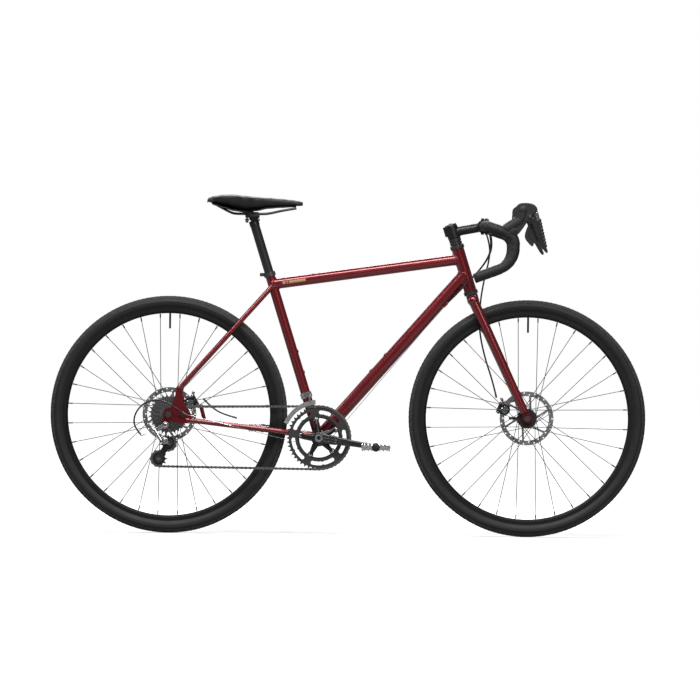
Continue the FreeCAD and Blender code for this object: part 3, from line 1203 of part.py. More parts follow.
def housings():
    shift = [V(-478, -83, 352), V(-500, -86, 366), V(-530, -90, 384), V(-566, -94, 397), V(-604, -98, 384),
             V(-630, -100, 350), V(-630, -101, 312), V(-608, -101, 290)]
    brake = [V(-330, 46, 342), V(-370, 49, 352), V(-405, 52, 372), V(-430, 54, 398)]
    save("cable_housings", [routed(shift, HOUSING_R), routed(brake, HOUSING_R)])
    crossing = []
    for side in (-1, 1):
        crossing.append(routed([V(414, 62 * side, 898), V(422, 58 * side, 862), V(408, 48 * side, 822),
                                V(382, 35 * side, 786), V(350, 27 * side, 752), V(316, 27 * side, 716),
                                V(284, 17 * side, 684)], HOUSING_R))
    save("steering_housings", crossing)
    fork = [V(404, 60, 899), V(417, 62, 862), V(413, 64, 815), V(399, 64, 760), V(388, 63, 690),
            V(386, 62, 612), V(404, 59, 530), V(428, 57, 462), V(440, 55, 412)]
    save("fork_housing", [routed(fork, HOUSING_R)])


def main():
    os.makedirs("parts", exist_ok=True)
    frame_tubes()
    rear_triangle()
    bearing_cups()
    seat_collar()
    seat()
    fork()
    stem()
    cockpit()
    caliper("rear", REAR_CALIPER)
    caliper("front", FRONT_CALIPER)
    wheels()
    chain()
    crankset()
    pedals()
    cassette()
    rear_derailleur()
    front_derailleur()
    housings()
    print("links", LINK_COUNT, "cage angle", round(CAGE_ANGLE, 2))


main()
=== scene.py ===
import json
import math

import bmesh
import bpy
from mathutils import Matrix, Vector


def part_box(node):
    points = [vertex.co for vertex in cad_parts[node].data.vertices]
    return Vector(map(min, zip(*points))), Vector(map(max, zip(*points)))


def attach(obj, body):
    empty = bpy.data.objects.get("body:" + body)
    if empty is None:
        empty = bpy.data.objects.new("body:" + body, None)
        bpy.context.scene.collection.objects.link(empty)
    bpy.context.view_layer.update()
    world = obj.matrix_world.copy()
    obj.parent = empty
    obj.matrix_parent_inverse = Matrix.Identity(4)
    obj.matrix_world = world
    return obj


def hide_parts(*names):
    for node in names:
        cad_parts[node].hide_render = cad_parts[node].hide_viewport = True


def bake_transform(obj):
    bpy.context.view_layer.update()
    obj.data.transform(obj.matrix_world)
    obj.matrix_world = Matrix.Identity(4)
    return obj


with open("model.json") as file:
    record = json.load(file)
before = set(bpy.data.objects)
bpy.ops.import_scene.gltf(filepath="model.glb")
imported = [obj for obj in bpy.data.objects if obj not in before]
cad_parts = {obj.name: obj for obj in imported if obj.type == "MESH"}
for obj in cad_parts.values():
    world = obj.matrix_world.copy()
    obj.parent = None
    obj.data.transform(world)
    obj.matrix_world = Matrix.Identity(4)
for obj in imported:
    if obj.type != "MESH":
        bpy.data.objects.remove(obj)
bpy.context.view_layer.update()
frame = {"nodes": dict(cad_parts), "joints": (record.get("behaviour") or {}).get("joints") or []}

# Road bicycle, metres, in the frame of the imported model: +X forward, +Y to the rider's left, +Z up.
# Shapes are given in millimetres from a joint or a node's box, and MM turns them into metres.
MM = 0.001
JOINTS = {joint["name"]: joint for joint in frame["joints"]}


def joint_place(name):
    return Vector(JOINTS[name]["pos_m"])


FRONT_AXLE = joint_place("front_wheel_spin")
REAR_AXLE = joint_place("rear_wheel_spin")
BOTTOM_BRACKET = joint_place("crank_spin")
WHEELS = (("front", FRONT_AXLE), ("rear", REAR_AXLE))
SIDES = (("left", 1), ("right", -1))
UP_SEAT = Vector(JOINTS["seatpost_height"]["axis"])
UP_STEER = Vector(JOINTS["steering"]["axis"])


def mm(x, y, z):
    """A vector given in millimetres."""
    return Vector((x, y, z)) * MM


def at(origin, x, y, z):
    """The point that many millimetres from origin."""
    return origin + mm(x, y, z)


def beside(point, y):
    """The point straight across from one in the bicycle, that many millimetres off its middle plane."""
    return Vector((point.x, y * MM, point.z))


# ---- materials -----------------------------------------------------------------------------------------
def node_tree(name):
    made = bpy.data.materials.new(name)
    made.use_nodes = True
    nodes = made.node_tree.nodes
    return made, nodes, made.node_tree.links, nodes["Principled BSDF"]


def mixed(nodes, links, factor, low, high):
    mix = nodes.new("ShaderNodeMix")
    mix.data_type = "RGBA"
    links.new(factor, mix.inputs["Factor"])
    for socket, value in (("A", low), ("B", high)):
        target = [s for s in mix.inputs if s.name == socket and s.type == "RGBA"][0]
        if hasattr(value, "node"):
            links.new(value, target)
        else:
            target.default_value = (*value, 1.0)
    return [s for s in mix.outputs if s.type == "RGBA"][0]


def texture(nodes, links, kind, scale):
    place = nodes.new("ShaderNodeTexCoord")
    made = nodes.new(kind)
    made.inputs["Scale"].default_value = scale
    links.new(place.outputs["Object"], made.inputs["Vector"])
    return made


def ranged(nodes, links, value, low, high):
    spread = nodes.new("ShaderNodeMapRange")
    spread.inputs["To Min"].default_value = low
    spread.inputs["To Max"].default_value = high
    links.new(value, spread.inputs["Value"])
    return spread.outputs["Result"]


def surface(name, colour, rough, metallic=0.0, coat=0.0, mottle=0.12, grain=900.0, depth=0.02, cells=False,
            wear=None, flakes=None, sheen=0.0, shine=0.5):
    """One finish: a mottled colour, uneven gloss, a fine relief and, where asked, rubbed edges or flakes."""
    made, nodes, links, shader = node_tree(name)
    shader.inputs["Metallic"].default_value = metallic
    shader.inputs["Coat Weight"].default_value = coat
    shader.inputs["Coat Roughness"].default_value = 0.05
    shader.inputs["Sheen Weight"].default_value = sheen
    shader.inputs["Specular IOR Level"].default_value = shine
    cloud = texture(nodes, links, "ShaderNodeTexNoise", 22.0)
    low = [c * (1 - mottle) for c in colour]
    high = [min(1.0, c * (1 + mottle)) for c in colour]
    tint = mixed(nodes, links, cloud.outputs["Fac"], low, high)
    if flakes:
        speck = texture(nodes, links, "ShaderNodeTexVoronoi", 2600.0)
        share = ranged(nodes, links, speck.outputs["Color"], 0.0, 0.45)
        tint = mixed(nodes, links, share, tint, flakes)
    if wear:
        geometry = nodes.new("ShaderNodeNewGeometry")
        ramp = nodes.new("ShaderNodeMapRange")
        ramp.inputs["From Min"].default_value = 0.52
        ramp.inputs["From Max"].default_value = 0.62
        links.new(geometry.outputs["Pointiness"], ramp.inputs["Value"])
        tint = mixed(nodes, links, ramp.outputs["Result"], tint, wear)
    links.new(tint, shader.inputs["Base Color"])
    links.new(ranged(nodes, links, cloud.outputs["Fac"], rough * 0.8, min(1.0, rough * 1.2)),
              shader.inputs["Roughness"])
    fine = texture(nodes, links, "ShaderNodeTexVoronoi" if cells else "ShaderNodeTexNoise", grain)
    bump = nodes.new("ShaderNodeBump")
    bump.inputs["Strength"].default_value = 0.6
    bump.inputs["Distance"].default_value = depth * MM
    links.new(fine.outputs["Distance" if cells else "Fac"], bump.inputs["Height"])
    links.new(bump.outputs["Normal"], shader.inputs["Normal"])
    return made


def brushed_round(name, colour, rough, centre):
    """Metal turned about a Y axis through centre, so its fine lines are rings."""
    made = surface(name, colour, rough, metallic=1.0, mottle=0.08, grain=1500.0, depth=0.01)
    nodes, links = made.node_tree.nodes, made.node_tree.links
    place = nodes.new("ShaderNodeTexCoord")
    shift = nodes.new("ShaderNodeVectorMath")
    shift.operation = "SUBTRACT"
    shift.inputs[1].default_value = centre
    flat = nodes.new("ShaderNodeVectorMath")
    flat.operation = "MULTIPLY"
    flat.inputs[1].default_value = (1, 0, 1)
    size = nodes.new("ShaderNodeVectorMath")
    size.operation = "LENGTH"
    rings = nodes.new("ShaderNodeTexNoise")
    rings.noise_dimensions = "1D"
    rings.inputs["Scale"].default_value = 4000.0
    links.new(place.outputs["Object"], shift.inputs[0])
    links.new(shift.outputs["Vector"], flat.inputs[0])
    links.new(flat.outputs["Vector"], size.inputs[0])
    links.new(size.outputs["Value"], rings.inputs["W"])
    bump = [n for n in nodes if n.type == "BUMP"][0]
    bump.inputs["Distance"].default_value = 0.03 * MM
    links.new(rings.outputs["Fac"], bump.inputs["Height"])
    return made


PAINT = surface("paint_red", (0.125, 0.002, 0.006), 0.3, metallic=0.55, coat=1.0, mottle=0.12, grain=60.0,
                depth=0.008, flakes=(0.28, 0.008, 0.016))
GOLD = surface("trim_gold", (0.62, 0.42, 0.2), 0.35, metallic=0.7, coat=0.6)
BLACK_METAL = surface("black_anodised", (0.012, 0.012, 0.0125), 0.36, metallic=0.4, wear=(0.05, 0.05, 0.052))
BLACK_GLOSS = surface("black_gloss", (0.007, 0.007, 0.0075), 0.3, coat=0.5, grain=200.0)
RIM_BLACK = surface("rim_black", (0.005, 0.005, 0.0053), 0.42, grain=400.0, shine=0.3)
PLASTIC = surface("black_plastic", (0.012, 0.012, 0.0125), 0.5, grain=1400.0, depth=0.05, shine=0.35)
SILVER = surface("silver_alloy", (0.42, 0.425, 0.435), 0.26, metallic=1.0, mottle=0.06,
                 wear=(0.85, 0.85, 0.86))
CHROME = surface("chrome", (0.78, 0.79, 0.8), 0.09, metallic=1.0, mottle=0.03, depth=0.004)
DARK_STEEL = surface("dark_steel", (0.035, 0.035, 0.037), 0.34, metallic=0.9, wear=(0.2, 0.2, 0.2))
SPOKE_STEEL = surface("spoke_steel", (0.07, 0.07, 0.073), 0.35, metallic=0.9, mottle=0.05)
CHAIN_STEEL = surface("chain_steel", (0.20, 0.195, 0.185), 0.36, metallic=1.0, mottle=0.25, grain=700.0)
TYRE_RUBBER = surface("tyre_rubber", (0.034, 0.034, 0.034), 0.8, mottle=0.45, grain=1100.0, depth=0.2,
                      shine=0.3)
SIDEWALL = surface("tyre_sidewall", (0.013, 0.013, 0.0133), 0.55, mottle=0.2, grain=2200.0, depth=0.06,
                   shine=0.3)
TAPE = surface("bar_tape", (0.011, 0.011, 0.0115), 0.6, mottle=0.25, grain=1300.0, depth=0.22, cells=True,
               shine=0.35)
HOOD_RUBBER = surface("hood_rubber", (0.012, 0.012, 0.0125), 0.55, mottle=0.15, grain=950.0, depth=0.12,
                      cells=True, shine=0.35)
SADDLE_SKIN = surface("saddle_skin", (0.009, 0.009, 0.0095), 0.45, mottle=0.2, grain=1000.0, depth=0.14,
                      cells=True, shine=0.4)
STITCH = surface("stitching", (0.09, 0.09, 0.092), 0.7, mottle=0.2, grain=3000.0, depth=0.1)
HOUSING = surface("cable_housing", (0.006, 0.006, 0.0065), 0.35, coat=0.2, grain=500.0)
AMBER = surface("amber", (0.75, 0.22, 0.02), 0.25, coat=0.7, cells=True, grain=700.0, depth=0.2)

NODE_FINISH = {
    PAINT: ("head_tube", "top_tube", "down_tube", "seat_tube", "bottom_bracket_shell", "bottle_bosses",
            "chain_stays", "seat_stays", "dropouts", "fork_crown", "fork_blades"),
    BLACK_METAL: ("bearing_cups", "seat_collar", "rear_caliper", "front_caliper", "seatpost",
                  "headset_spacers", "stem", "handlebar", "crank_arms", "derailleur_cage", "front_hub",
                  "rear_hub", "brake_lever_left", "brake_lever_right", "front_qr_lever", "rear_qr_lever",
                  "rear_axle", "front_axle", "chainrings"),
    RIM_BLACK: ("front_rim", "rear_rim"),
    PLASTIC: ("saddle_base", "shift_paddle_left", "shift_paddle_right", "guide_pulley", "tension_pulley"),
    SILVER: ("front_derailleur", "front_derailleur_cage", "derailleur_knuckle", "derailleur_link",
             "derailleur_lower_knuckle", "front_caliper_arm", "rear_caliper_arm", "pedal_left",
             "pedal_right"),
    DARK_STEEL: ("cassette",),
    SPOKE_STEEL: ("front_spokes", "rear_spokes"),
    CHAIN_STEEL: ("chain",),
    TYRE_RUBBER: ("front_tyre", "rear_tyre"),
    TAPE: ("bar_tape",),
    HOOD_RUBBER: ("lever_hoods",),
    SADDLE_SKIN: ("saddle_cover",),
    HOUSING: ("cable_housings", "steering_housings", "fork_housing"),
    brushed_round("front_rotor_steel", (0.6, 0.6, 0.61), 0.25, FRONT_AXLE): ("front_rotor",),
    brushed_round("rear_rotor_steel", (0.6, 0.6, 0.61), 0.25, REAR_AXLE): ("rear_rotor",),
}
for finish, names in NODE_FINISH.items():
    for node_name in names:
        held = frame["nodes"][node_name].data.materials
        held.clear()
        held.append(finish)


# ---- mesh building -------------------------------------------------------------------------------------
def across(way):
    """Two unit vectors square to way and to each other."""
    helper = Vector((0, 1, 0)) if abs(way.y) < 0.9 else Vector((1, 0, 0))
    first = helper.cross(way).normalized()
    return first, way.cross(first).normalized()


def skin(rings, closed=False):
    """Points and faces of a surface through rings of equally many points, capped where it is not closed."""
    count = len(rings[0])
    points = [p for ring in rings for p in ring]
    faces = []
    for i in range(len(rings) if closed else len(rings) - 1):
        a = i * count
        b = (i + 1) % len(rings) * count
        for j in range(count):
            k = (j + 1) % count
            faces.append((a + j, a + k, b + k, b + j))
    if not closed:
        faces.append(tuple(reversed(range(count))))
        faces.append(tuple(range(len(points) - count, len(points))))
    return points, faces


def swept(path, radius, sides=16):
    """Rings along a path; radius is a number or a function of (length so far, angle)."""
    rings = []
    way = (path[1] - path[0]).normalized()
    first, second = across(way)
    length = 0.0
    for i, point in enumerate(path):
        ahead = path[min(i + 1, len(path) - 1)] - path[max(i - 1, 0)]
        turn = way.rotation_difference(ahead.normalized())
        first.rotate(turn)
        second.rotate(turn)
        way = ahead.normalized()
        if i:
            length += (point - path[i - 1]).length
        ring = []
        for k in range(sides):
            angle = 2 * math.pi * k / sides
            r = radius(length, angle) if callable(radius) else radius
            ring.append(point + first * (r * math.cos(angle)) + second * (r * math.sin(angle)))
        rings.append(ring)
    return skin(rings)


class Pile:
    """Closed lumps that end up as one mesh, either as they are or melted into one rounded body."""

    def __init__(self):
        self.points = []
        self.faces = []

    def add(self, made):
        start = len(self.points)
        self.points.extend(made[0])
        self.faces.extend(tuple(start + i for i in face) for face in made[1])
        return self

    def prism(self, outline, y0, y1):
        """An outline of points in the XZ plane, in metres, extruded from y0 to y1."""
        rings = [[Vector((p.x, y, p.z)) for p in outline] for y in (y0, y1)]
        return self.add(skin(rings))

    def bar(self, p, q, r1, r2=None, sides=28):
        first, second = across((q - p).normalized())
        rings = []
        for point, r in ((p, r1), (q, r1 if r2 is None else r2)):
            rings.append([point + first * (r * math.cos(2 * math.pi * k / sides))
                          + second * (r * math.sin(2 * math.pi * k / sides)) for k in range(sides)])
        return self.add(skin(rings))

    def ball(self, centre, r, sides=20):
        rings = []
        for i in range(1, sides // 2):
            tilt = 2 * math.pi * i / sides
            rings.append([centre + Vector((r * math.sin(tilt) * math.cos(2 * math.pi * k / sides),
                                           r * math.sin(tilt) * math.sin(2 * math.pi * k / sides),
                                           r * math.cos(tilt))) for k in range(sides)])
        return self.add(skin(rings))

    def brick(self, centre, size, turn=0.0):
        """A box about centre; turn is about +Y, in degrees."""
        half = Vector(size) / 2
        spin = Matrix.Rotation(math.radians(turn), 3, "Y")
        rings = []
        for y in (-half.y, half.y):
            corners = ((-half.x, -half.z), (half.x, -half.z), (half.x, half.z), (-half.x, half.z))
            rings.append([centre + spin @ Vector((x, y, z)) for x, z in corners])
        return self.add(skin(rings))

    def lathe(self, centre, way, profile, sides=32):
        """profile is (radius, height) pairs in millimetres, from the middle of one end to the other's."""
        first, second = across(way)
        rings = []
        for r, height in profile:
            ring = []
            for k in range(sides):
                angle = 2 * math.pi * k / sides
                spread = first * math.cos(angle) + second * math.sin(angle)
                ring.append(centre + way * (height * MM) + spread * (max(r, 0.02) * MM))
            rings.append(ring)
        return self.add(skin(rings))

    def bolt(self, centre, way, r, height):
        """A socket-head bolt whose head stands that high along way."""
        self.lathe(centre, way, [(0.0, 0.0), (r, 0.0), (r, height * 0.75), (r * 0.86, height),
                                 (r * 0.5, height), (r * 0.5, height * 0.35), (0.0, height * 0.35)], 24)
        return self

    def object(self, name):
        mesh = bpy.data.meshes.new(name)
        mesh.from_pydata([tuple(p) for p in self.points], [], self.faces)
        made = bpy.data.objects.new(name, mesh)
        bpy.context.scene.collection.objects.link(made)
        shape = bmesh.new()
        shape.from_mesh(mesh)
        bmesh.ops.remove_doubles(shape, verts=shape.verts, dist=1e-7)
        bmesh.ops.recalc_face_normals(shape, faces=shape.faces)
        shape.to_mesh(mesh)
        shape.free()
        return made

    def piece(self, name, body, finish, stands_for=(), slot=None, sharp=35.0):
        """The lumps as they are, smooth except at edges sharper than that many degrees."""
        made = self.object(name)
        shape = bmesh.new()
        shape.from_mesh(made.data)
        for edge in shape.edges:
            edge.smooth = len(edge.link_faces) == 2 and edge.calc_face_angle(0.0) < math.radians(sharp)
        for face in shape.faces:
            face.smooth = True
        shape.to_mesh(made.data)
        shape.free()
        return settle(made, body, finish, stands_for)

    def melted(self, name, body, finish, voxel=1.2, rounds=6, stands_for=()):
        """The lumps joined by a voxel remesh and rounded by smoothing, as a cast or moulded part is."""
        made = self.object(name)
        remesh = made.modifiers.new("remesh", "REMESH")
        remesh.mode = "VOXEL"
        remesh.voxel_size = voxel * MM
        smooth = made.modifiers.new("smooth", "SMOOTH")
        smooth.factor = 0.5
        smooth.iterations = rounds
        graph = bpy.context.evaluated_depsgraph_get()
        mesh = bpy.data.meshes.new_from_object(made.evaluated_get(graph))
        made.modifiers.clear()
        made.data = mesh
        for face in mesh.polygons:
            face.use_smooth = True
        return settle(made, body, finish, stands_for)


def settle(made, body, finish, stands_for=()):
    made.data.materials.clear()
    made.data.materials.append(finish)
    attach(made, body)
    if stands_for:
        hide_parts(*stands_for)
    return made


def outline_at(origin, pairs):
    """Outline points from (x, z) millimetres off origin."""
    return [at(origin, x, 0, z) for x, z in pairs]


def rounded(pairs, steps=6):
    """A closed Catmull-Rom curve through the pairs."""
    made = []
    count = len(pairs)
    for i in range(count):
        a, b, c, d = (Vector(pairs[(i + k - 1) % count]) for k in range(4))
        for step in range(steps):
            t = step / steps
            made.append(0.5 * ((2 * b) + (c - a) * t + (2 * a - 5 * b + 4 * c - d) * t * t
                               + (3 * b - a - 3 * c + d) * t ** 3))
    return made


def nurbs_path(route):
    """Points along the NURBS spline that has the route's points as its control points."""
    data = bpy.data.curves.new("route", "CURVE")
    data.dimensions = "3D"
    data.resolution_u = 12
    spline = data.splines.new("NURBS")
    spline.points.add(len(route) - 1)
    for point, place in zip(spline.points, route):
        point.co = (*place, 1.0)
    spline.order_u = 3
    spline.use_endpoint_u = True
    holder = bpy.data.objects.new("route", data)
    mesh = bpy.data.meshes.new_from_object(holder)
    points = [v.co.copy() for v in mesh.vertices]
    bpy.data.objects.remove(holder)
    return points


# ---- camera, floor and light ---------------------------------------------------------------------------
CAMERA_DISTANCE = 20.0
CAMERA_PLACE = Vector((0.0037, -CAMERA_DISTANCE, 0.5477))
CAMERA_ROLL = math.radians(0.705)
VIEW_WIDTH = 2.073      # metres across the picture in the bicycle's middle plane
SENSOR = 36.0


ROOM_LIGHT = 0.13       # the room's light on the bicycle; the room itself is seen white
FLOOR_BOUNCE = 0.3      # how much light the floor throws back up
LIT_NEAR = 0.8          # metres from the middle within which the lamps alone light the floor
LIT_FAR = 2.6           # and beyond which it glows white by itself
NEAR_GLOW = 0.0


def white_room():
    world = bpy.data.worlds.new("studio")
    world.use_nodes = True
    nodes, links = world.node_tree.nodes, world.node_tree.links
    seen = nodes.new("ShaderNodeBackground")
    seen.inputs["Color"].default_value = (1.0, 1.0, 1.0, 1.0)
    lit = nodes["Background"]
    lit.inputs["Color"].default_value = (1.0, 1.0, 1.0, 1.0)
    lit.inputs["Strength"].default_value = ROOM_LIGHT
    choose = nodes.new("ShaderNodeMixShader")
    links.new(nodes.new("ShaderNodeLightPath").outputs["Is Camera Ray"], choose.inputs["Fac"])
    links.new(lit.outputs["Background"], choose.inputs[1])
    links.new(seen.outputs["Background"], choose.inputs[2])
    links.new(choose.outputs["Shader"], nodes["World Output"].inputs["Surface"])
    bpy.context.scene.world = world


def pale_floor():
    """White to the eye, with soft shadows near the bicycle, and dim to the light that bounces off it."""
    pale = surface("pale_floor", (0.85, 0.85, 0.85), 0.9, mottle=0.01, grain=30.0, shine=0.1)
    nodes, links = pale.node_tree.nodes, pale.node_tree.links
    shader = nodes["Principled BSDF"]
    shader.inputs["Emission Color"].default_value = (1.0, 1.0, 1.0, 1.0)
    size = nodes.new("ShaderNodeVectorMath")
    size.operation = "LENGTH"
    links.new(nodes.new("ShaderNodeTexCoord").outputs["Object"], size.inputs[0])
    glow = nodes.new("ShaderNodeMapRange")
    glow.interpolation_type = "SMOOTHSTEP"
    for socket, value in (("From Min", LIT_NEAR), ("From Max", LIT_FAR), ("To Min", NEAR_GLOW),
                          ("To Max", 1.0)):
        glow.inputs[socket].default_value = value
    links.new(size.outputs["Value"], glow.inputs["Value"])
    links.new(glow.outputs["Result"], shader.inputs["Emission Strength"])
    bounce = nodes.new("ShaderNodeBsdfDiffuse")
    bounce.inputs["Color"].default_value = (FLOOR_BOUNCE, FLOOR_BOUNCE, FLOOR_BOUNCE, 1.0)
    choose = nodes.new("ShaderNodeMixShader")
    links.new(nodes.new("ShaderNodeLightPath").outputs["Is Camera Ray"], choose.inputs["Fac"])
    links.new(bounce.outputs["BSDF"], choose.inputs[1])
    links.new(shader.outputs["BSDF"], choose.inputs[2])
    links.new(choose.outputs["Shader"], nodes["Material Output"].inputs["Surface"])
    return pale


def studio():
    camera = bpy.data.objects.new("camera", bpy.data.cameras.new("camera"))
    bpy.context.scene.collection.objects.link(camera)
    camera.data.sensor_width = SENSOR
    camera.data.lens = SENSOR * CAMERA_DISTANCE / VIEW_WIDTH
    c, s = math.cos(CAMERA_ROLL), math.sin(CAMERA_ROLL)
    turn = Matrix(((c, -s, 0), (0, 0, -1), (s, c, 0)))
    camera.matrix_world = Matrix.Translation(CAMERA_PLACE) @ turn.to_4x4()
    bpy.context.scene.camera = camera

    floor = Pile()
    floor.bar(Vector((0, 0, -0.02)), Vector((0, 0, 0)), 40.0, sides=96)
    made = floor.object("floor")
    made.data.materials.append(pale_floor())
    white_room()
    bpy.context.scene.view_settings.view_transform = "Standard"
    lights = (("key", (-0.3, -2.0, 3.6), 4.4, 0.9, 190.0), ("fill", (1.6, -4.4, 2.4), 3.0, 0.7, 60.0),
              ("rim", (0.0, 2.6, 3.1), 3.8, 0.7, 110.0), ("back", (-3.4, 1.2, 2.0), 1.2, 2.0, 40.0))
    for name, place, width, height, power in lights:
        data = bpy.data.lights.new(name, "AREA")
        data.shape = "RECTANGLE"
        data.size = width
        data.size_y = height
        data.energy = power
        lamp = bpy.data.objects.new(name, data)
        bpy.context.scene.collection.objects.link(lamp)
        aim = Vector((0, 0, 0.45)) - Vector(place)
        lamp.location = place
        lamp.rotation_euler = aim.to_track_quat("-Z", "Y").to_euler()


# ---- tyres ---------------------------------------------------------------------------------------------
TREAD_UNITS = 80
TREAD_STEPS = 12
TREAD_HEIGHT = 1.5
TYRE_SECTION = 19.0


def bump_shape(value, edge=0.25):
    """0 outside -1..1, 1 well inside, with soft flanks."""
    rise = min(1.0, max(0.0, (1 - abs(value)) / edge))
    return rise * rise * (3 - 2 * rise)


def tread(unit, arc):
    """Height from 0 to 1 of the tread at a share of one unit round the tyre and an arc angle in degrees."""
    side = abs(arc)
    if side > 62:
        return 0.0
    height = 0.0
    for row, (middle, half_arc, half_unit) in enumerate(((0, 7, 0.3), (15.5, 6, 0.29), (30, 6, 0.3))):
        for shift in (0.0, 0.5):
            offset = (unit * 2 + shift * (row % 2) + 0.5) % 1 - 0.5
            knob = bump_shape((side - middle) / half_arc) * bump_shape(offset / (half_unit * 1.3))
            height = max(height, knob)
    block = bump_shape((side - 49) / 11.5) * bump_shape(((unit + 0.5) % 1 - 0.5) / 0.44)
    for dimple in (-0.17, 0.17):
        hole = math.hypot((side - 49) / 5.0, ((unit + 0.5) % 1 - 0.5 - dimple) / 0.085)
        block -= 0.75 * bump_shape(hole * 0.8, 0.5)
    return max(height, block, 0.0)


def tyre(name, axle):
    low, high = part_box(name + "_tyre")
    outer = (high.z - low.z) / 2
    section = TYRE_SECTION * MM
    middle = outer - section
    arcs = [-132 + 264 * i / 66 for i in range(67)]
    count = TREAD_UNITS * TREAD_STEPS
    rings = []
    for i in range(count):
        angle = 2 * math.pi * i / count
        ring = []
        for arc in arcs:
            groove = (1 - tread(i / TREAD_STEPS % 1, arc)) * bump_shape(arc / 80, 0.3)
            r = section - TREAD_HEIGHT * MM * groove
            for line in (88.0, 112.0):
                r += 0.35 * MM * bump_shape((abs(arc) - line) / 2.2, 0.8)
            swing = math.radians(arc)
            reach = middle + r * math.cos(swing)
            side = r * math.sin(swing)
            ring.append(axle + Vector((reach * math.cos(angle), side, reach * math.sin(angle))))
        bead = (section * math.cos(math.radians(132)) - 6.5 * MM, 10.2 * MM)
        for sign in (1, -1):
            reach = middle + bead[0]
            ring.append(axle + Vector((reach * math.cos(angle), sign * bead[1], reach * math.sin(angle))))
        rings.append(ring)
    made = Pile().add(skin(rings, closed=True)).piece(name + "_tyre_tread", name + "_wheel", TYRE_RUBBER,
                                                      (name + "_tyre",), "rubber_tyre", 50.0)
    made.data.materials.append(SIDEWALL)
    for face in made.data.polygons:
        offset = face.center - axle
        reach = math.hypot(offset.x, offset.z) - middle
        if abs(math.degrees(math.atan2(offset.y, reach))) > 62:
            face.material_index = 1


# ---- saddle --------------------------------------------------------------------------------------------
# distance ahead of the tail, half width, top, lower edge; millimetres, the heights from the saddle's top
SADDLE_STATIONS = ((0, 26, -15, -21), (6, 41, -9, -24), (22, 61, -4.5, -30), (48, 70, -1, -38),
                   (80, 68, -0.5, -46), (112, 53, -3.5, -50), (145, 38, -6.5, -45), (180, 27, -8.5, -38),
                   (215, 21, -11, -35), (248, 18, -14, -33), (270, 15.5, -17, -32), (281, 10, -20, -31))


def saddle_station(x):
    for first, second in zip(SADDLE_STATIONS, SADDLE_STATIONS[1:]):
        if x <= second[0]:
            share = (x - first[0]) / (second[0] - first[0])
            share = share * share * (3 - 2 * share)
            return [a + (b - a) * share for a, b in zip(first[1:], second[1:])]
    return SADDLE_STATIONS[-1][1:]


def saddle():
    low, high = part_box("saddle_cover")
    tail = Vector((low.x, 0, high.z))
    length = (high.x - low.x) / MM
    rings = []
    stations = 60
    sides = 56
    for i in range(stations + 1):
        x = length * (0.5 - 0.5 * math.cos(math.pi * i / stations))
        half, top, under = saddle_station(x * SADDLE_STATIONS[-1][0] / length)
        ring = []
        for k in range(sides):
            angle = 2 * math.pi * k / sides
            c, s = math.cos(angle), math.sin(angle)
            y = half * math.copysign(abs(c) ** 0.8, c)
            if s >= 0:
                z = top - 10.0 + 10.0 * abs(s) ** 0.62
                groove = math.exp(-(y / 6.5) ** 2) * bump_shape((x - 118) / 75, 0.5)
                z -= 2.0 * groove
                seam = math.exp(-((abs(y) - 0.62 * half) / 0.9) ** 2)
                z -= 0.9 * seam * bump_shape((x - 130) / 120, 0.3)
                cross = math.exp(-((x - 92 - 0.25 * abs(y)) / 1.0) ** 2)
                z -= 0.8 * cross
            else:
                z = top - 10.0 + (under - top + 10.0) * abs(s) ** 0.75
                y *= 1 - 0.10 * abs(s)
            ring.append(at(tail, x, y, z))
        rings.append(ring)
    made = Pile().add(skin(rings)).piece("saddle_pad", "seat", SADDLE_SKIN, ("saddle_cover",), "saddle_skin",
                                         70)
    thread = Pile()
    for sign in (1, -1):
        for k in range(44):
            x = 30 + k * 4.8
            half, top, under = saddle_station(x)
            y = sign * (0.62 * half + 2.0)
            share = min(1.0, abs(y) / half)
            rise = (1 - share ** 2.5) ** 0.31
            z = top - 10.0 + 10.0 * rise - 0.05
            thread.bar(at(tail, x, y, z), at(tail, x + 2.8, y, z - 0.1), 0.35 * MM, sides=6)
    thread.piece("saddle_stitching", "seat", STITCH, slot="saddle_skin")


# ---- handlebar tape, hoods and levers ------------------------------------------------------------------
BAR_X = 397.0           # the bar's middle, where the stem holds it
BAR_Z = 918.0
BAR_CORNERS = ((BAR_X, 205.0, BAR_Z), (484.0, 205.0, 889.0), (482.0, 205.0, 806.0), (373.6, 207.0, 766.0))
BAR_BENDS = (38.0, 36.0, 66.0)
TAPE_START_Y = 72.0
TAPE_R = 14.1
TAPE_STEP = 0.9         # how much a wrap's edge stands over the one before it


def bar_path(sign, first_y, step=2.0):
    """The bent bar's centreline on one side, from that distance off the middle to its end."""
    corners = [Vector((x, sign * y, z)) for x, y, z in ((BAR_X, first_y, BAR_Z), *BAR_CORNERS)]
    points = [corners[0]]

    def straight(end):
        start = points[-1]
        count = max(1, int((end - start).length / step))
        for i in range(1, count + 1):
            points.append(start.lerp(end, i / count))

    for i, radius in enumerate(BAR_BENDS):
        corner = corners[i + 1]
        back = (corners[i] - corner).normalized()
        ahead = (corners[i + 2] - corner).normalized()
        half = back.angle(ahead) / 2
        trim = radius / math.tan(half)
        centre = corner + (back + ahead).normalized() * (radius / math.sin(half))
        straight(corner + back * trim)
        start = points[-1] - centre
        normal = start.cross(corner + ahead * trim - centre).normalized()
        sweep = math.pi - 2 * half
        count = max(2, int(radius * sweep / step))
        for k in range(1, count + 1):
            turned = start.copy()
            turned.rotate(Matrix.Rotation(sweep * k / count, 3, normal))
            points.append(centre + turned)
    straight(corners[-1])
    return [p * MM for p in points]


TAPE_PITCH = 19.0 * MM


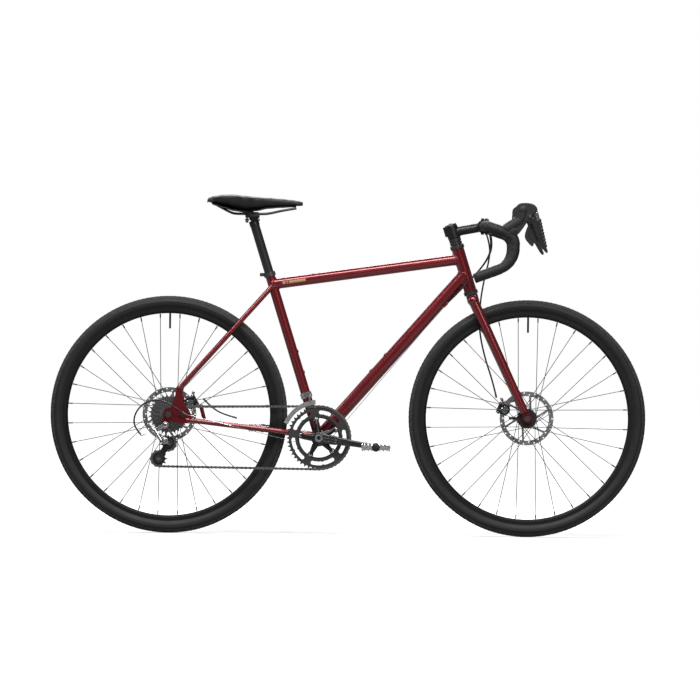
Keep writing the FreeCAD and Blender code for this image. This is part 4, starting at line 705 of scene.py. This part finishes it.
def tape():
    def wrap(length, angle):
        share = (length / TAPE_PITCH + angle / (2 * math.pi)) % 1
        return (TAPE_R + TAPE_STEP * min(1.0, share * 9) * (1 - 0.55 * share)) * MM

    pile = Pile()
    ends = Pile()
    for name, sign in SIDES:
        path = bar_path(sign, TAPE_START_Y)
        pile.add(swept(path, wrap, 40))
        start, way = path[0], (path[1] - path[0]).normalized()
        ends.lathe(start, way, [(11.9, -3.0), (14.6, -3.0), (15.0, 1.0), (15.0, 11.0), (14.2, 12.0),
                                (11.9, 12.0)])
        end, way = path[-1], (path[-1] - path[-2]).normalized()
        ends.lathe(end, way, [(0.0, 1.5), (9.0, 1.5), (12.8, 0.8), (13.6, -0.8), (13.0, -2.0), (0.0, -2.0)])
    pile.piece("bar_tape_wraps", "fork", TAPE, ("bar_tape",), "tape", 28)
    ends.piece("bar_tape_ends", "fork", PLASTIC, slot="plastic_black")


HOOD_OUTLINE = ((-86, -44), (-80, -31), (-60, -24), (-49, -12), (-46, 6), (-45, 24), (-36, 34), (-20, 37),
                (-4, 36), (8, 32), (16, 24), (18, 14), (8, 4), (-6, -12), (-20, -32), (-33, -50), (-46, -62),
                (-62, -66), (-78, -58))
LEVER_OUTLINE = ((5, 13), (14, 15), (20, 10), (25, -8), (30, -32), (36, -62), (44, -88), (50, -104),
                 (47, -109), (40, -104), (31, -90), (20, -70), (10, -46), (2, -24), (-3, -8))
LEVER_CAP_OUTLINE = ((8, 12), (15, 12), (19, 4), (22, -12), (17, -13), (13, -2))
PADDLE_OUTLINE = ((2, -22), (-5, -38), (-8, -52), (-6, -62), (2, -73), (14, -84), (19, -78), (18, -60),
                  (10, -34))


def hoods_and_levers():
    hoods = Pile()
    hardware = Pile()
    for name, sign in SIDES:
        pivot = joint_place("brake_lever_%s_pull" % name)
        origin = Vector((pivot.x, 0, pivot.z))
        outline = outline_at(origin, rounded(HOOD_OUTLINE, 4))
        hoods.prism(outline, pivot.y - 13.5 * MM, pivot.y + 13.5 * MM)
        hoods.bar(at(pivot, -74, 0, -42), at(pivot, -30, 0, -14), 16.5 * MM, 17.5 * MM)
        hoods.bar(at(pivot, -30, 0, -14), at(pivot, -22, 0, 17), 17.5 * MM, 17.0 * MM)
        hoods.ball(at(pivot, -24, 0, 16), 18.5 * MM)
        hoods.bar(at(pivot, -58, 0, -54), at(pivot, -48, 0, -40), 17.0 * MM)
        for way in (1, -1):
            hardware.bolt(at(pivot, -4, way * 14.0, -2), Vector((0, way, 0)), 4.2, 3.2)
            hardware.bolt(at(pivot, 5, way * 12.0, -7), Vector((0, way, 0)), 2.6, 4.4)
    hoods.melted("lever_hood_rubber", "fork", HOOD_RUBBER, 1.5, 7, ("lever_hoods",))
    hardware.piece("lever_pivot_bolts", "fork", CHROME, slot="silver_metal")
    for name, sign in SIDES:
        pivot = joint_place("brake_lever_%s_pull" % name)
        origin = Vector((pivot.x, 0, pivot.z))
        blade = Pile()
        blade.prism(outline_at(origin, rounded(LEVER_OUTLINE, 4)), pivot.y - 5.2 * MM, pivot.y + 5.2 * MM)
        blade.bar(at(pivot, 0, -6, 0), at(pivot, 0, 6, 0), 8.5 * MM)
        for drop in range(9):
            share = drop / 8
            blade.ball(at(pivot, 24 + 19 * share, 0, -14 - 74 * share), (6.6 - 1.4 * share) * MM)
        body = "brake_lever_" + name
        blade.melted("brake_blade_" + name, body, BLACK_GLOSS, 0.9, 8, (body,))
        plate = Pile()
        plate.prism(outline_at(origin, rounded(LEVER_CAP_OUTLINE, 3)),
                    pivot.y - 6.3 * MM, pivot.y + 6.3 * MM)
        plate.melted("lever_cap_" + name, body, CHROME, 0.7, 3)
        paddle = Pile()
        outer = pivot.y - sign * 14.0 * MM
        inner = pivot.y - sign * 6.7 * MM
        paddle.prism(outline_at(origin, rounded(PADDLE_OUTLINE, 4)), min(outer, inner), max(outer, inner))
        paddle.melted("paddle_" + name, "shift_paddle_" + name, PLASTIC, 0.8, 5, ("shift_paddle_" + name,))


# ---- housings ------------------------------------------------------------------------------------------
HOUSING_R = 2.5
STEERING_ROUTE = ((414, 62, 898), (422, 58, 862), (408, 48, 822), (382, 35, 786), (350, 27, 752),
                  (316, 27, 716), (284, 17, 684))
FORK_ROUTE = ((404, 60, 899), (417, 62, 862), (413, 64, 815), (399, 64, 760), (388, 63, 690), (386, 62, 612),
              (404, 59, 530), (428, 57, 462), (440, 55, 412))
SHIFT_ROUTE = ((-478, -83, 352), (-500, -86, 366), (-530, -90, 384), (-566, -94, 397), (-604, -98, 384),
               (-630, -100, 350), (-630, -101, 312), (-608, -101, 290))
BRAKE_ROUTE = ((-330, 46, 342), (-370, 49, 352), (-405, 52, 372), (-430, 54, 398))


def route_points(route, sign=1):
    return nurbs_path([mm(x, sign * y, z) for x, y, z in route])


def ferrule(pile, path, from_end=False):
    """The metal cap on a housing's end."""
    first, second = (path[-1], path[-3]) if from_end else (path[0], path[2])
    way = (second - first).normalized()
    pile.lathe(first, way, [(0.0, -1.0), (2.2, -1.0), (3.0, 0.0), (3.0, 11.0), (2.6, 12.5), (0.0, 12.5)], 20)


def housings():
    ends = Pile()
    shift = route_points(SHIFT_ROUTE)
    brake = route_points(BRAKE_ROUTE)
    rear = Pile().add(swept(shift, HOUSING_R * MM)).add(swept(brake, HOUSING_R * MM))
    rear.piece("rear_cable_housings", "frame", HOUSING, ("cable_housings",), "housing")
    for path in (shift, brake):
        ferrule(ends, path)
        ferrule(ends, path, True)
    crossing = Pile()
    for sign in (1, -1):
        path = route_points(STEERING_ROUTE, sign)
        crossing.add(swept(path, HOUSING_R * MM))
        ferrule(ends, path, True)
    made = crossing.object("steering_cable_housings")
    for face in made.data.polygons:
        face.use_smooth = True
    made.data.materials.append(HOUSING)
    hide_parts("steering_housings")
    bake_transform(made)
    front = route_points(FORK_ROUTE)
    Pile().add(swept(front, HOUSING_R * MM)).piece("fork_cable_housing", "fork", HOUSING, ("fork_housing",),
                                                   "housing")
    ends.piece("housing_ferrules", "frame", DARK_STEEL, slot="housing")
    front_end = Pile()
    ferrule(front_end, front, True)
    front_end.piece("fork_housing_ferrule", "fork", DARK_STEEL, slot="housing")


# ---- frame joints --------------------------------------------------------------------------------------
HEAD_R = 18.4
SEAT_R = 14.3
TOP_R = 15.9
DOWN_R = 19.05
SHELL_R = 20.5
FILLET = 2.4
HEAD_TUBE_TOP_Z = 851.0
TOP_TUBE_SEAT_Z = 739.8
DOWN_TUBE_HEAD_Z = 776.0
CABLE_DROP = 23.5       # the bare cables under the down tube's axis, at the bottom bracket
CABLE_R = 0.8
TOP_TUBE_WAY = Vector((math.cos(math.radians(8.27)), 0, math.sin(math.radians(8.27))))


def along(start, way, height):
    """The point on a line whose height is that many millimetres."""
    return start + way * ((height * MM - start.z) / way.z)


def fillet(start, way, r, wall, wall_way, wall_r):
    """A closed bead where a round tube that comes along way runs into a round wall; radii in millimetres."""
    first, second = across(way)
    path = []
    for k in range(90):
        angle = 2 * math.pi * k / 90
        edge = start + (first * math.cos(angle) + second * math.sin(angle)) * (r * MM)
        offset = edge - wall
        flat_way = way - wall_way * way.dot(wall_way)
        flat_offset = offset - wall_way * offset.dot(wall_way)
        a = flat_way.dot(flat_way)
        b = 2 * flat_way.dot(flat_offset)
        c = flat_offset.dot(flat_offset) - (wall_r * MM) ** 2
        root = max(0.0, b * b - 4 * a * c)
        path.append(edge + way * ((-b - math.sqrt(root)) / (2 * a)))
    rings = []
    for i, point in enumerate(path):
        ahead = (path[(i + 1) % len(path)] - path[i - 1]).normalized()
        out, side = across(ahead)
        ripple = FILLET * (1 + 0.08 * math.sin(i * 1.4)) * MM
        rings.append([point + (out * math.cos(t) + side * math.sin(t)) * ripple
                      for t in (2 * math.pi * k / 10 for k in range(10))])
    return skin(rings, closed=True)


def side_flash(start, way, r, long, side):
    """A thin plate wrapped on a tube's side, as a plain strip of trim; radius and length in millimetres."""
    up = Vector((-way.z, 0, way.x))
    rings = []
    for share in (0.0, 1.0):
        middle = start + way * (long * share * MM)
        arc = []
        for reach, angles in ((r + 0.10, range(-14, 15, 2)), (r - 0.25, range(14, -15, -2))):
            for a in angles:
                out = Vector((0, side, 0)) * math.cos(math.radians(a)) + up * math.sin(math.radians(a))
                arc.append(middle + out * (reach * MM))
        rings.append(arc)
    return skin(rings)


def frame_joints():
    steer = joint_place("steering")
    top_seat = along(BOTTOM_BRACKET, UP_SEAT, TOP_TUBE_SEAT_Z)
    down_way = (along(steer, UP_STEER, DOWN_TUBE_HEAD_Z) - BOTTOM_BRACKET).normalized()
    middle_top = top_seat + TOP_TUBE_WAY * 0.3
    middle_down = BOTTOM_BRACKET + down_way * 0.3
    middle_seat = BOTTOM_BRACKET + UP_SEAT * 0.3
    head_wall = (steer, UP_STEER, HEAD_R)
    seat_wall = (BOTTOM_BRACKET, UP_SEAT, SEAT_R)
    shell_wall = (BOTTOM_BRACKET, Vector((0, 1, 0)), SHELL_R)
    beads = Pile()
    for start, way, r, wall in ((middle_top, TOP_TUBE_WAY, TOP_R, head_wall),
                                (middle_top, -TOP_TUBE_WAY, TOP_R, seat_wall),
                                (middle_down, down_way, DOWN_R, head_wall),
                                (middle_down, -down_way, DOWN_R, shell_wall),
                                (middle_seat, -UP_SEAT, SEAT_R, shell_wall)):
        beads.add(fillet(start, way, r, *wall))
    beads.piece("frame_fillets", "frame", PAINT, slot="frame_paint", sharp=80)
    flashes = Pile()
    for start, long in ((30.0, 9.0), (42.0, 4.0), (48.5, 50.0)):
        for side in (1, -1):
            flashes.add(side_flash(top_seat + TOP_TUBE_WAY * (start * MM), TOP_TUBE_WAY, TOP_R, long, side))
    flashes.piece("trim_flashes", "frame", GOLD, slot="frame_paint")
    stops = Pile()
    wires = Pile()
    under = Vector((down_way.z, 0, -down_way.x))
    for sign in (1, -1):
        before, stop = (mm(x, sign * y, z) for x, y, z in STEERING_ROUTE[-2:])
        way = (before - stop).normalized()
        stops.bar(stop - way * 7 * MM, stop + way * 8 * MM, 4.1 * MM)
        stops.bar(stop, stop - mm(0, 6 * sign, 0) - under * 6 * MM, 3.4 * MM)
        low = BOTTOM_BRACKET + under * CABLE_DROP * MM + mm(6, 9 * sign, 0) + down_way * 0.03
        wires.bar(stop - way * 5 * MM, low, CABLE_R * MM, sides=8)
    stops.melted("cable_stops", "frame", PAINT, 0.7, 3)
    stay_low = BOTTOM_BRACKET + mm(-30, -26, -22)
    wires.bar(low, stay_low, CABLE_R * MM, sides=8)
    wires.bar(stay_low, mm(*SHIFT_ROUTE[0]), CABLE_R * MM, sides=8)
    wires.piece("bare_cables", "frame", CHROME, slot="steel")
    guide = Pile()
    guide.brick(BOTTOM_BRACKET + mm(8, 0, -22), mm(26, 34, 5), -10)
    guide.melted("cable_guide", "frame", PLASTIC, 0.8, 4)


# ---- stem, seatpost and rails --------------------------------------------------------------------------
STEM_LIFT = 31.6        # the stem's foot above the head tube
STEM_CLAMP = 39.6


def stem():
    clamp = mm(BAR_X, 0.0, BAR_Z)
    base = along(joint_place("steering"), UP_STEER, HEAD_TUBE_TOP_Z) + UP_STEER * STEM_LIFT * MM
    top = base + UP_STEER * STEM_CLAMP * MM
    body = Pile()
    body.bar(base, top, 18.8 * MM)
    body.bar((base + top) / 2, clamp, 13.8 * MM)
    body.bar((base + top) / 2 + UP_STEER * 2 * MM, clamp, 11.0 * MM)
    body.bar(at(clamp, -2, -20.5, 0), at(clamp, -2, 20.5, 0), 20.0 * MM)
    for z in (-19.5, 19.5):
        body.brick(at(clamp, -5.5, 0, z), mm(9, 41, 9))
    body.brick(base.lerp(top, 0.5) + mm(-21, 0, 0), mm(9, 15, 30), -17.5)
    body.melted("stem_body", "fork", BLACK_METAL, 1.2, 5, ("stem",))
    plate = Pile()
    plate.prism([at(clamp, 1.5 + 20.2 * math.cos(math.radians(a)), 0, 21.5 * math.sin(math.radians(a)))
                 for a in range(-90, 91, 10)], clamp.y - 20.5 * MM, clamp.y + 20.5 * MM)
    for z in (-19.5, 19.5):
        plate.brick(at(clamp, 5.5, 0, z), mm(7.5, 41, 9))
    plate.melted("stem_faceplate", "fork", BLACK_METAL, 1.0, 3)
    bolts = Pile()
    for y in (-14.0, 14.0):
        for z in (-19.5, 19.5):
            bolts.bolt(at(clamp, 8.6, y, z), Vector((1, 0, 0)), 4.0, 4.2)
    for share in (0.25, 0.75):
        bolts.bolt(base.lerp(top, share) + mm(-21, 8, 0), Vector((0, 1, 0)), 3.6, 3.0)
    cap = top + UP_STEER * 4.4 * MM
    bolts.bolt(cap, UP_STEER, 5.5, 2.4)
    bolts.piece("stem_bolts", "fork", DARK_STEEL, slot="black_metal")
    rings = Pile()
    for height in (0.0, 10.0):
        rings.lathe(base - UP_STEER * (20.0 - height) * MM, UP_STEER,
                    [(14.6, 0.2), (17.2, 0.2), (17.9, 0.9), (17.9, 9.1), (17.2, 9.8), (14.6, 9.8)], 40)
    rings.lathe(top, UP_STEER, [(0.0, 0.1), (17.2, 0.1), (17.6, 1.2), (16.4, 3.8), (12.0, 4.6), (0.0, 4.6)],
                40)
    rings.piece("headset_rings", "fork", BLACK_METAL, ("headset_spacers",), "black_metal", 25)


RAIL_HEIGHT = 947.0
CLAMP_X = -292.0


def seat_hardware():
    rails = Pile()
    for sign in (1, -1):
        route = ((-396, 31, 972), (-384, 30, 966), (-352, 23, 949), (-336, 22, 947), (-300, 22, 947),
                 (-262, 22, 947), (-240, 21, 948.5), (-206, 15, 957), (-172, 9, 963), (-160, 8, 965))
        rails.add(swept(route_points(route, sign), 3.4 * MM))
    rails.piece("saddle_rails", "seat", DARK_STEEL, slot="steel")
    low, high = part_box("saddle_cover")
    tail = Vector((low.x, 0, high.z))
    length = (high.x - low.x) / MM
    rings = []
    for i in range(33):
        x = length * (0.05 + 0.88 * i / 32)
        half, top, under = saddle_station(x * SADDLE_STATIONS[-1][0] / length)
        ring = []
        for k in range(28):
            angle = 2 * math.pi * k / 28
            c, s = math.cos(angle), math.sin(angle)
            ring.append(at(tail, x, 0.86 * half * math.copysign(abs(c) ** 0.8, c),
                           under - 0.2 + (1.6 if s > 0 else 3.2) * s * abs(s)))
        rings.append(ring)
    Pile().add(skin(rings)).piece("saddle_shell", "seat", PLASTIC, ("saddle_base",), "plastic_black", 60)
    foot = BOTTOM_BRACKET + UP_SEAT * 385 * MM
    head = BOTTOM_BRACKET + UP_SEAT * 669 * MM
    post = Pile().lathe(foot, UP_SEAT, [(0.0, 0.0), (13.6, 0.0), (13.6, 268.0), (15.0, 278.0), (13.0, 284.0),
                                        (0.0, 284.0)], 48)
    post.piece("seatpost_tube", "seat", BLACK_METAL, ("seatpost",), "black_metal")
    centre = mm(CLAMP_X, 0, RAIL_HEIGHT)
    cradle = Pile()
    cradle.brick(at(centre, 2, 0, -6.5), mm(42, 54, 9))
    cradle.bar(at(centre, 4, -15, -10), at(centre, 4, 15, -10), 12.5 * MM)
    cradle.bar(head - UP_SEAT * 14 * MM, head + UP_SEAT * 2 * MM, 14.8 * MM)
    cradle.melted("seatpost_cradle", "seat", BLACK_METAL, 1.1, 5)
    yoke = Pile()
    yoke.brick(at(centre, 2, 0, 3.4), mm(35, 53, 4.6))
    yoke.bar(at(centre, 2, -26, 2.6), at(centre, 2, 26, 2.6), 5.2 * MM)
    yoke.melted("seatpost_yoke", "seat", BLACK_METAL, 0.9, 4)
    bolts = Pile()
    for dx in (-14.0, 18.0):
        bolts.bar(at(centre, dx, 0, -24), at(centre, dx, 0, 5.5), 2.4 * MM, sides=18)
        bolts.bolt(at(centre, dx, 0, -21), Vector((0, 0, -1)), 4.4, 5.0)
        bolts.lathe(at(centre, dx, 0, -14), Vector((0, 0, -1)),
                    [(0, 0), (5.6, 0), (6.0, 1), (6.0, 6), (0, 7)], 24)
    bolts.piece("seatpost_bolts", "seat", DARK_STEEL, slot="steel")


# ---- crankset and pedals -------------------------------------------------------------------------------
BOLT_CIRCLE = 55.0
SPIDER_ARMS = 5
PEDAL_SPINDLE_END = 173.0
PEDAL_MIDDLE = 126.0    # a pedal's middle from the bicycle's middle plane


def round_axle(centre, angle, r, y):
    """A point at a bearing and radius in millimetres from an axle, and at that Y in millimetres."""
    a = math.radians(angle)
    return Vector((centre.x + r * MM * math.cos(a), y * MM, centre.z + r * MM * math.sin(a)))


def crankset():
    body = Pile()
    spider = Pile()
    hardware = Pile()
    for name, sign in SIDES:
        pedal = joint_place("pedal_%s_spin" % name)
        reach = (pedal - BOTTOM_BRACKET) / MM
        length = math.hypot(reach.x, reach.z)
        angle = math.degrees(math.atan2(reach.z, reach.x))
        for share, wide in ((0.0, 15.5), (0.2, 12.5), (0.5, 10.0), (0.8, 9.0)):
            a = round_axle(BOTTOM_BRACKET, angle, length * share, sign * (64.0 + 2.0 * share))
            b = round_axle(BOTTOM_BRACKET, angle, length * (share + 0.3 if share < 0.8 else 1.0),
                           sign * (66.0 + 1.0 * share))
            for off in (-1, 0, 1):
                lean = Vector((-math.sin(math.radians(angle)), 0, math.cos(math.radians(angle))))
                shift = lean * (off * (wide - 5.5) * MM)
                body.bar(a + shift, b + shift * 0.8, 5.6 * MM, 5.4 * MM, 20)
        hub_inner = beside(BOTTOM_BRACKET, sign * 46.0)
        hub_outer = beside(BOTTOM_BRACKET, sign * 70.0)
        body.bar(hub_inner, hub_outer, 17.0 * MM, 16.5 * MM)
        eye = beside(pedal, sign * 61.0)
        body.bar(eye, beside(pedal, sign * 73.0), 12.5 * MM)
        hardware.lathe(hub_outer, Vector((0, sign, 0)), [(0.0, -1.0), (11.5, -1.0), (11.5, 0.6), (10.5, 1.6),
                                                         (6.0, 1.6), (5.6, -0.2), (0.0, -0.2)])
        hardware.bar(beside(pedal, sign * 72.0),
                     beside(pedal, sign * PEDAL_SPINDLE_END), 6.8 * MM)
        hardware.lathe(beside(pedal, sign * 73.2), Vector((0, sign, 0)),
                       [(0.0, 0.0), (9.0, 0.0), (9.0, 4.6), (7.5, 5.8), (0.0, 5.8)], 6)
    pedal = joint_place("pedal_right_spin") - BOTTOM_BRACKET
    start = math.degrees(math.atan2(pedal.z, pedal.x))
    for k in range(SPIDER_ARMS):
        angle = start + 36 + 72 * k
        inner = round_axle(BOTTOM_BRACKET, angle, 12, -56.0)
        outer = round_axle(BOTTOM_BRACKET, angle, 40, -52.0)
        tip = round_axle(BOTTOM_BRACKET, angle, BOLT_CIRCLE, -45.0)
        spider.bar(inner, outer, 10.5 * MM, 7.5 * MM)
        spider.bar(outer, round_axle(BOTTOM_BRACKET, angle, BOLT_CIRCLE - 1, -46.5), 7.5 * MM, 5.0 * MM)
        spider.bar(tip + mm(0, 1.0, 0), tip + mm(0, 3.4, 0), 8.0 * MM)
        cap = round_axle(BOTTOM_BRACKET, angle, BOLT_CIRCLE, -49.6)
        hardware.bolt(cap, Vector((0, -1, 0)), 5.3, 1.5)
    spider.bar(beside(BOTTOM_BRACKET, -48.0),
               beside(BOTTOM_BRACKET, -61.0), 24.0 * MM, 18.0 * MM)
    body.melted("crank_arm_pair", "crank", BLACK_GLOSS, 1.3, 6, ("crank_arms",))
    spider.melted("crank_spider", "crank", BLACK_METAL, 1.2, 4)
    hardware.piece("crank_hardware", "crank", SILVER, slot="silver_metal")


def pedals():
    for name, sign in SIDES:
        centre = joint_place("pedal_%s_spin" % name)
        middle = beside(centre, sign * PEDAL_MIDDLE)
        core = Pile()
        core.bar(at(middle, 0, -45, 0), at(middle, 0, 45, 0), 12.2 * MM)
        core.brick(at(middle, 0, 0, 0), mm(46, 60, 13))
        core.brick(at(middle, 0, 30, 0), mm(76, 9, 14))
        core.brick(at(middle, 0, -30, 0), mm(76, 9, 14))
        body = "pedal_" + name
        core.melted("pedal_core_" + name, body, PLASTIC, 1.1, 4, (body,))
        cage = Pile()
        for x in (-39.5, 39.5):
            cage.brick(at(middle, x, 0, 0), mm(2.6, 88, 15))
            for k in range(9):
                y = -40 + 10 * k
                for way in (1, -1):
                    cage.bar(at(middle, x, y, way * 7.0), at(middle, x, y, way * 11.5), 3.2 * MM, 0.9 * MM, 8)
        for y in (-43, 43):
            cage.brick(at(middle, 0, y, 0), mm(79, 2.6, 15))
            for k in range(7):
                x = -33 + 11 * k
                for way in (1, -1):
                    cage.bar(at(middle, x, y, way * 7.0), at(middle, x, y, way * 11.0), 3.0 * MM, 0.9 * MM, 8)
        cage.piece("pedal_cage_" + name, body, SILVER, slot="silver_metal")
        lamps = Pile()
        for x in (-42.2, 42.2):
            lamps.brick(at(middle, x, 0, 0), mm(2.0, 40, 8))
        lamps.melted("pedal_reflectors_" + name, body, AMBER, 0.6, 2)
        end = Pile()
        end.lathe(at(middle, 0, sign * 44.5, 0), Vector((0, sign, 0)),
                  [(0, 0), (9, 0), (9, 1.6), (7, 2.6), (0, 2.6)])
        end.piece("pedal_end_cap_" + name, body, PLASTIC, slot="plastic_black")


# ---- brakes --------------------------------------------------------------------------------------------
def brakes():
    for name, axle, body in (("front", FRONT_AXLE, "fork"), ("rear", REAR_AXLE, "frame")):
        pivot = joint_place(name + "_brake_arm")
        flat = Vector((pivot.x - axle.x, 0, pivot.z - axle.z))
        bearing = math.degrees(math.atan2(flat.z, flat.x))
        disc_y = (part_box(name + "_rotor")[0].y) / MM + 0.9
        face = disc_y + 13.5
        lumps = Pile()
        for y0, y1 in ((disc_y + 1.9, face - 0.4), (disc_y - 13.3, disc_y - 1.9)):
            centre = round_axle(axle, bearing, 75.0, (y0 + y1) / 2)
            lumps.brick(centre, mm(32, y1 - y0, 33), -bearing)
            lumps.bar(round_axle(axle, bearing, 70.0, y0), round_axle(axle, bearing, 70.0, y1), 16.0 * MM)
        lumps.brick(round_axle(axle, bearing, 88.0, disc_y), mm(8, 26, 34), -bearing)
        lumps.melted(name + "_caliper_body", body, BLACK_METAL, 1.1, 4, (name + "_caliper",))
        bolts = Pile()
        bolts.lathe(round_axle(axle, bearing, 70.0, face - 1.0), Vector((0, 1, 0)),
                    [(0, 0), (4.0, 0), (4.0, 7.4), (6.4, 7.4), (6.4, 9.0), (5.0, 10.0), (2.4, 10.0),
                     (2.4, 8), (0, 8)])
        for swing in (-10.0, 10.0):
            bolts.bolt(round_axle(axle, bearing + swing, 86.0, disc_y - 13.2), Vector((0, -1, 0)), 4.4, 3.6)
            bolts.bolt(round_axle(axle, bearing + swing, 84.0, face - 0.8), Vector((0, 1, 0)), 3.4, 2.4)
        bolts.lathe(round_axle(axle, bearing, 70.0, disc_y - 13.0), Vector((0, -1, 0)),
                    [(0, 0), (10.0, 0), (10.0, 2.2), (9.0, 3.4), (5.0, 3.4), (5.0, 1.0), (0, 1.0)])
        bolts.piece(name + "_caliper_bolts", body, CHROME, slot="silver_metal")
        low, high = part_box(name + "_caliper_arm")
        tip = Vector((low.x + 4.5 * MM if name == "front" else high.x - 4.5 * MM, 0, high.z - 3 * MM))
        arm = Pile()
        mid_y = (face + 3.2) * MM
        hub = Vector((pivot.x, 0, pivot.z))
        arm.bar(hub + Vector((0, (face + 0.6) * MM, 0)), hub + Vector((0, (face + 5.8) * MM, 0)), 8.6 * MM)
        for spread in (-2.0, 2.0):
            side = Vector((spread * MM, mid_y, 0))
            arm.bar(hub + side, Vector((tip.x, 0, tip.z)) + side, 2.7 * MM, 2.3 * MM)
        arm.melted(name + "_brake_arm_body", name + "_caliper_arm", SILVER, 0.7, 3, (name + "_caliper_arm",))
        clamp = Pile()
        clamp.bolt(Vector((tip.x, (face + 5.2) * MM, tip.z - 3 * MM)), Vector((0, 1, 0)), 3.8, 3.0)
        clamp.piece(name + "_cable_clamp", name + "_caliper_arm", DARK_STEEL, slot="steel")


# ---- quick releases ------------------------------------------------------------------------------------
def quick_releases():
    for name, _ in WHEELS:
        body = name + "_qr_lever"
        pivot = joint_place(name + "_qr_open")
        handle = Pile()
        handle.bar(at(pivot, 0, 0, -3.9), at(pivot, 0, 0, 3.9), 5.4 * MM)
        stations = ((-4, 0, 3.4), (-16, 0.6, 3.2), (-30, 1.4, 3.3), (-44, 1.2, 4.0), (-52, 0.4, 4.2))
        for first, second in zip(stations, stations[1:]):
            for z in (-1.6, 0.0, 1.6):
                handle.bar(at(pivot, first[0], first[1], z), at(pivot, second[0], second[1], z),
                           first[2] * 0.72 * MM, second[2] * 0.72 * MM, 16)
        handle.melted(name + "_quick_release", body, BLACK_METAL, 0.7, 4, (body,))


# ---- derailleurs ---------------------------------------------------------------------------------------
def derailleurs():
    hanger = joint_place("derailleur_swing")
    top = joint_place("derailleur_shift")
    bottom = joint_place("derailleur_parallel")
    axis = Vector(JOINTS["derailleur_shift"]["axis"])
    cage = joint_place("derailleur_cage_swing")
    knuckle = Pile()
    outer_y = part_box("derailleur_knuckle")[0].y
    knuckle.bar(Vector((hanger.x, outer_y + 1 * MM, hanger.z)), beside(hanger, -74.2), 10.2 * MM)
    knuckle.bar(beside(hanger, -81), top, 8.0 * MM, 7.0 * MM)
    knuckle.ball(top, 7.0 * MM)
    knuckle.melted("derailleur_upper_body", "derailleur_knuckle", SILVER, 0.8, 4, ("derailleur_knuckle",))
    pin = Pile()
    pin.bolt(Vector((hanger.x, outer_y + 0.4 * MM, hanger.z)), Vector((0, -1, 0)), 6.4, 2.4)
    pin.bar(beside(hanger, -76), beside(hanger, -67.6), 4.9 * MM)
    loop_end = mm(*SHIFT_ROUTE[-1])
    pin.lathe(loop_end, (mm(-560, -80, 308) - loop_end).normalized(),
              [(0, 0), (3.6, 0), (3.6, 9), (2.6, 10), (2.6, 17), (0, 17)], 12)
    pin.piece("derailleur_pivot_bolt", "derailleur_knuckle", CHROME, slot="silver_metal")
    link = Pile()
    offset = axis * -10.5 * MM
    for shift in (-5.0, 0.0, 5.0):
        side = (bottom - top).cross(axis).normalized() * (shift * MM)
        link.bar(top + offset + side, bottom + offset + side, 3.9 * MM, 3.6 * MM, 18)
    link.melted("derailleur_outer_link", "derailleur_link", SILVER, 0.7, 5, ("derailleur_link",))
    rivets = Pile()
    for place in (top, bottom):
        rivets.lathe(place + offset - axis * 3.6 * MM, -axis, [(0, 0), (3.4, 0), (3.0, 1.2), (0, 1.5)], 20)
    rivets.piece("derailleur_link_rivets", "derailleur_link", DARK_STEEL, slot="steel")
    lower = Pile()
    cage_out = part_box("derailleur_cage")[0].y
    lower.bar(beside(cage, -88), Vector((cage.x, cage_out - 0.5 * MM, cage.z)), 10.4 * MM)
    lower.bar(bottom, beside(cage, -84), 7.0 * MM)
    lower.ball(bottom, 7.0 * MM)
    lower.melted("derailleur_lower_body", "derailleur_lower_knuckle", SILVER, 0.8, 4,
                 ("derailleur_lower_knuckle",))
    cap = Pile()
    cap.bolt(beside(cage, -88), Vector((0, -1, 0)), 6.0, 2.0)
    cap.piece("derailleur_lower_cap", "derailleur_lower_knuckle", CHROME, slot="silver_metal")
    bolts = Pile()
    for joint_name in ("guide_pulley_spin", "tension_pulley_spin"):
        place = joint_place(joint_name)
        bolts.bolt(Vector((place.x, cage_out, place.z)), Vector((0, -1, 0)), 4.0, 1.8)
    bolts.piece("pulley_bolts", "derailleur_cage", CHROME, slot="silver_metal")


studio()
for wheel_name, wheel_axle in WHEELS:
    tyre(wheel_name, wheel_axle)
saddle()
tape()
hoods_and_levers()
housings()
frame_joints()
stem()
seat_hardware()
crankset()
pedals()
brakes()
quick_releases()
derailleurs()
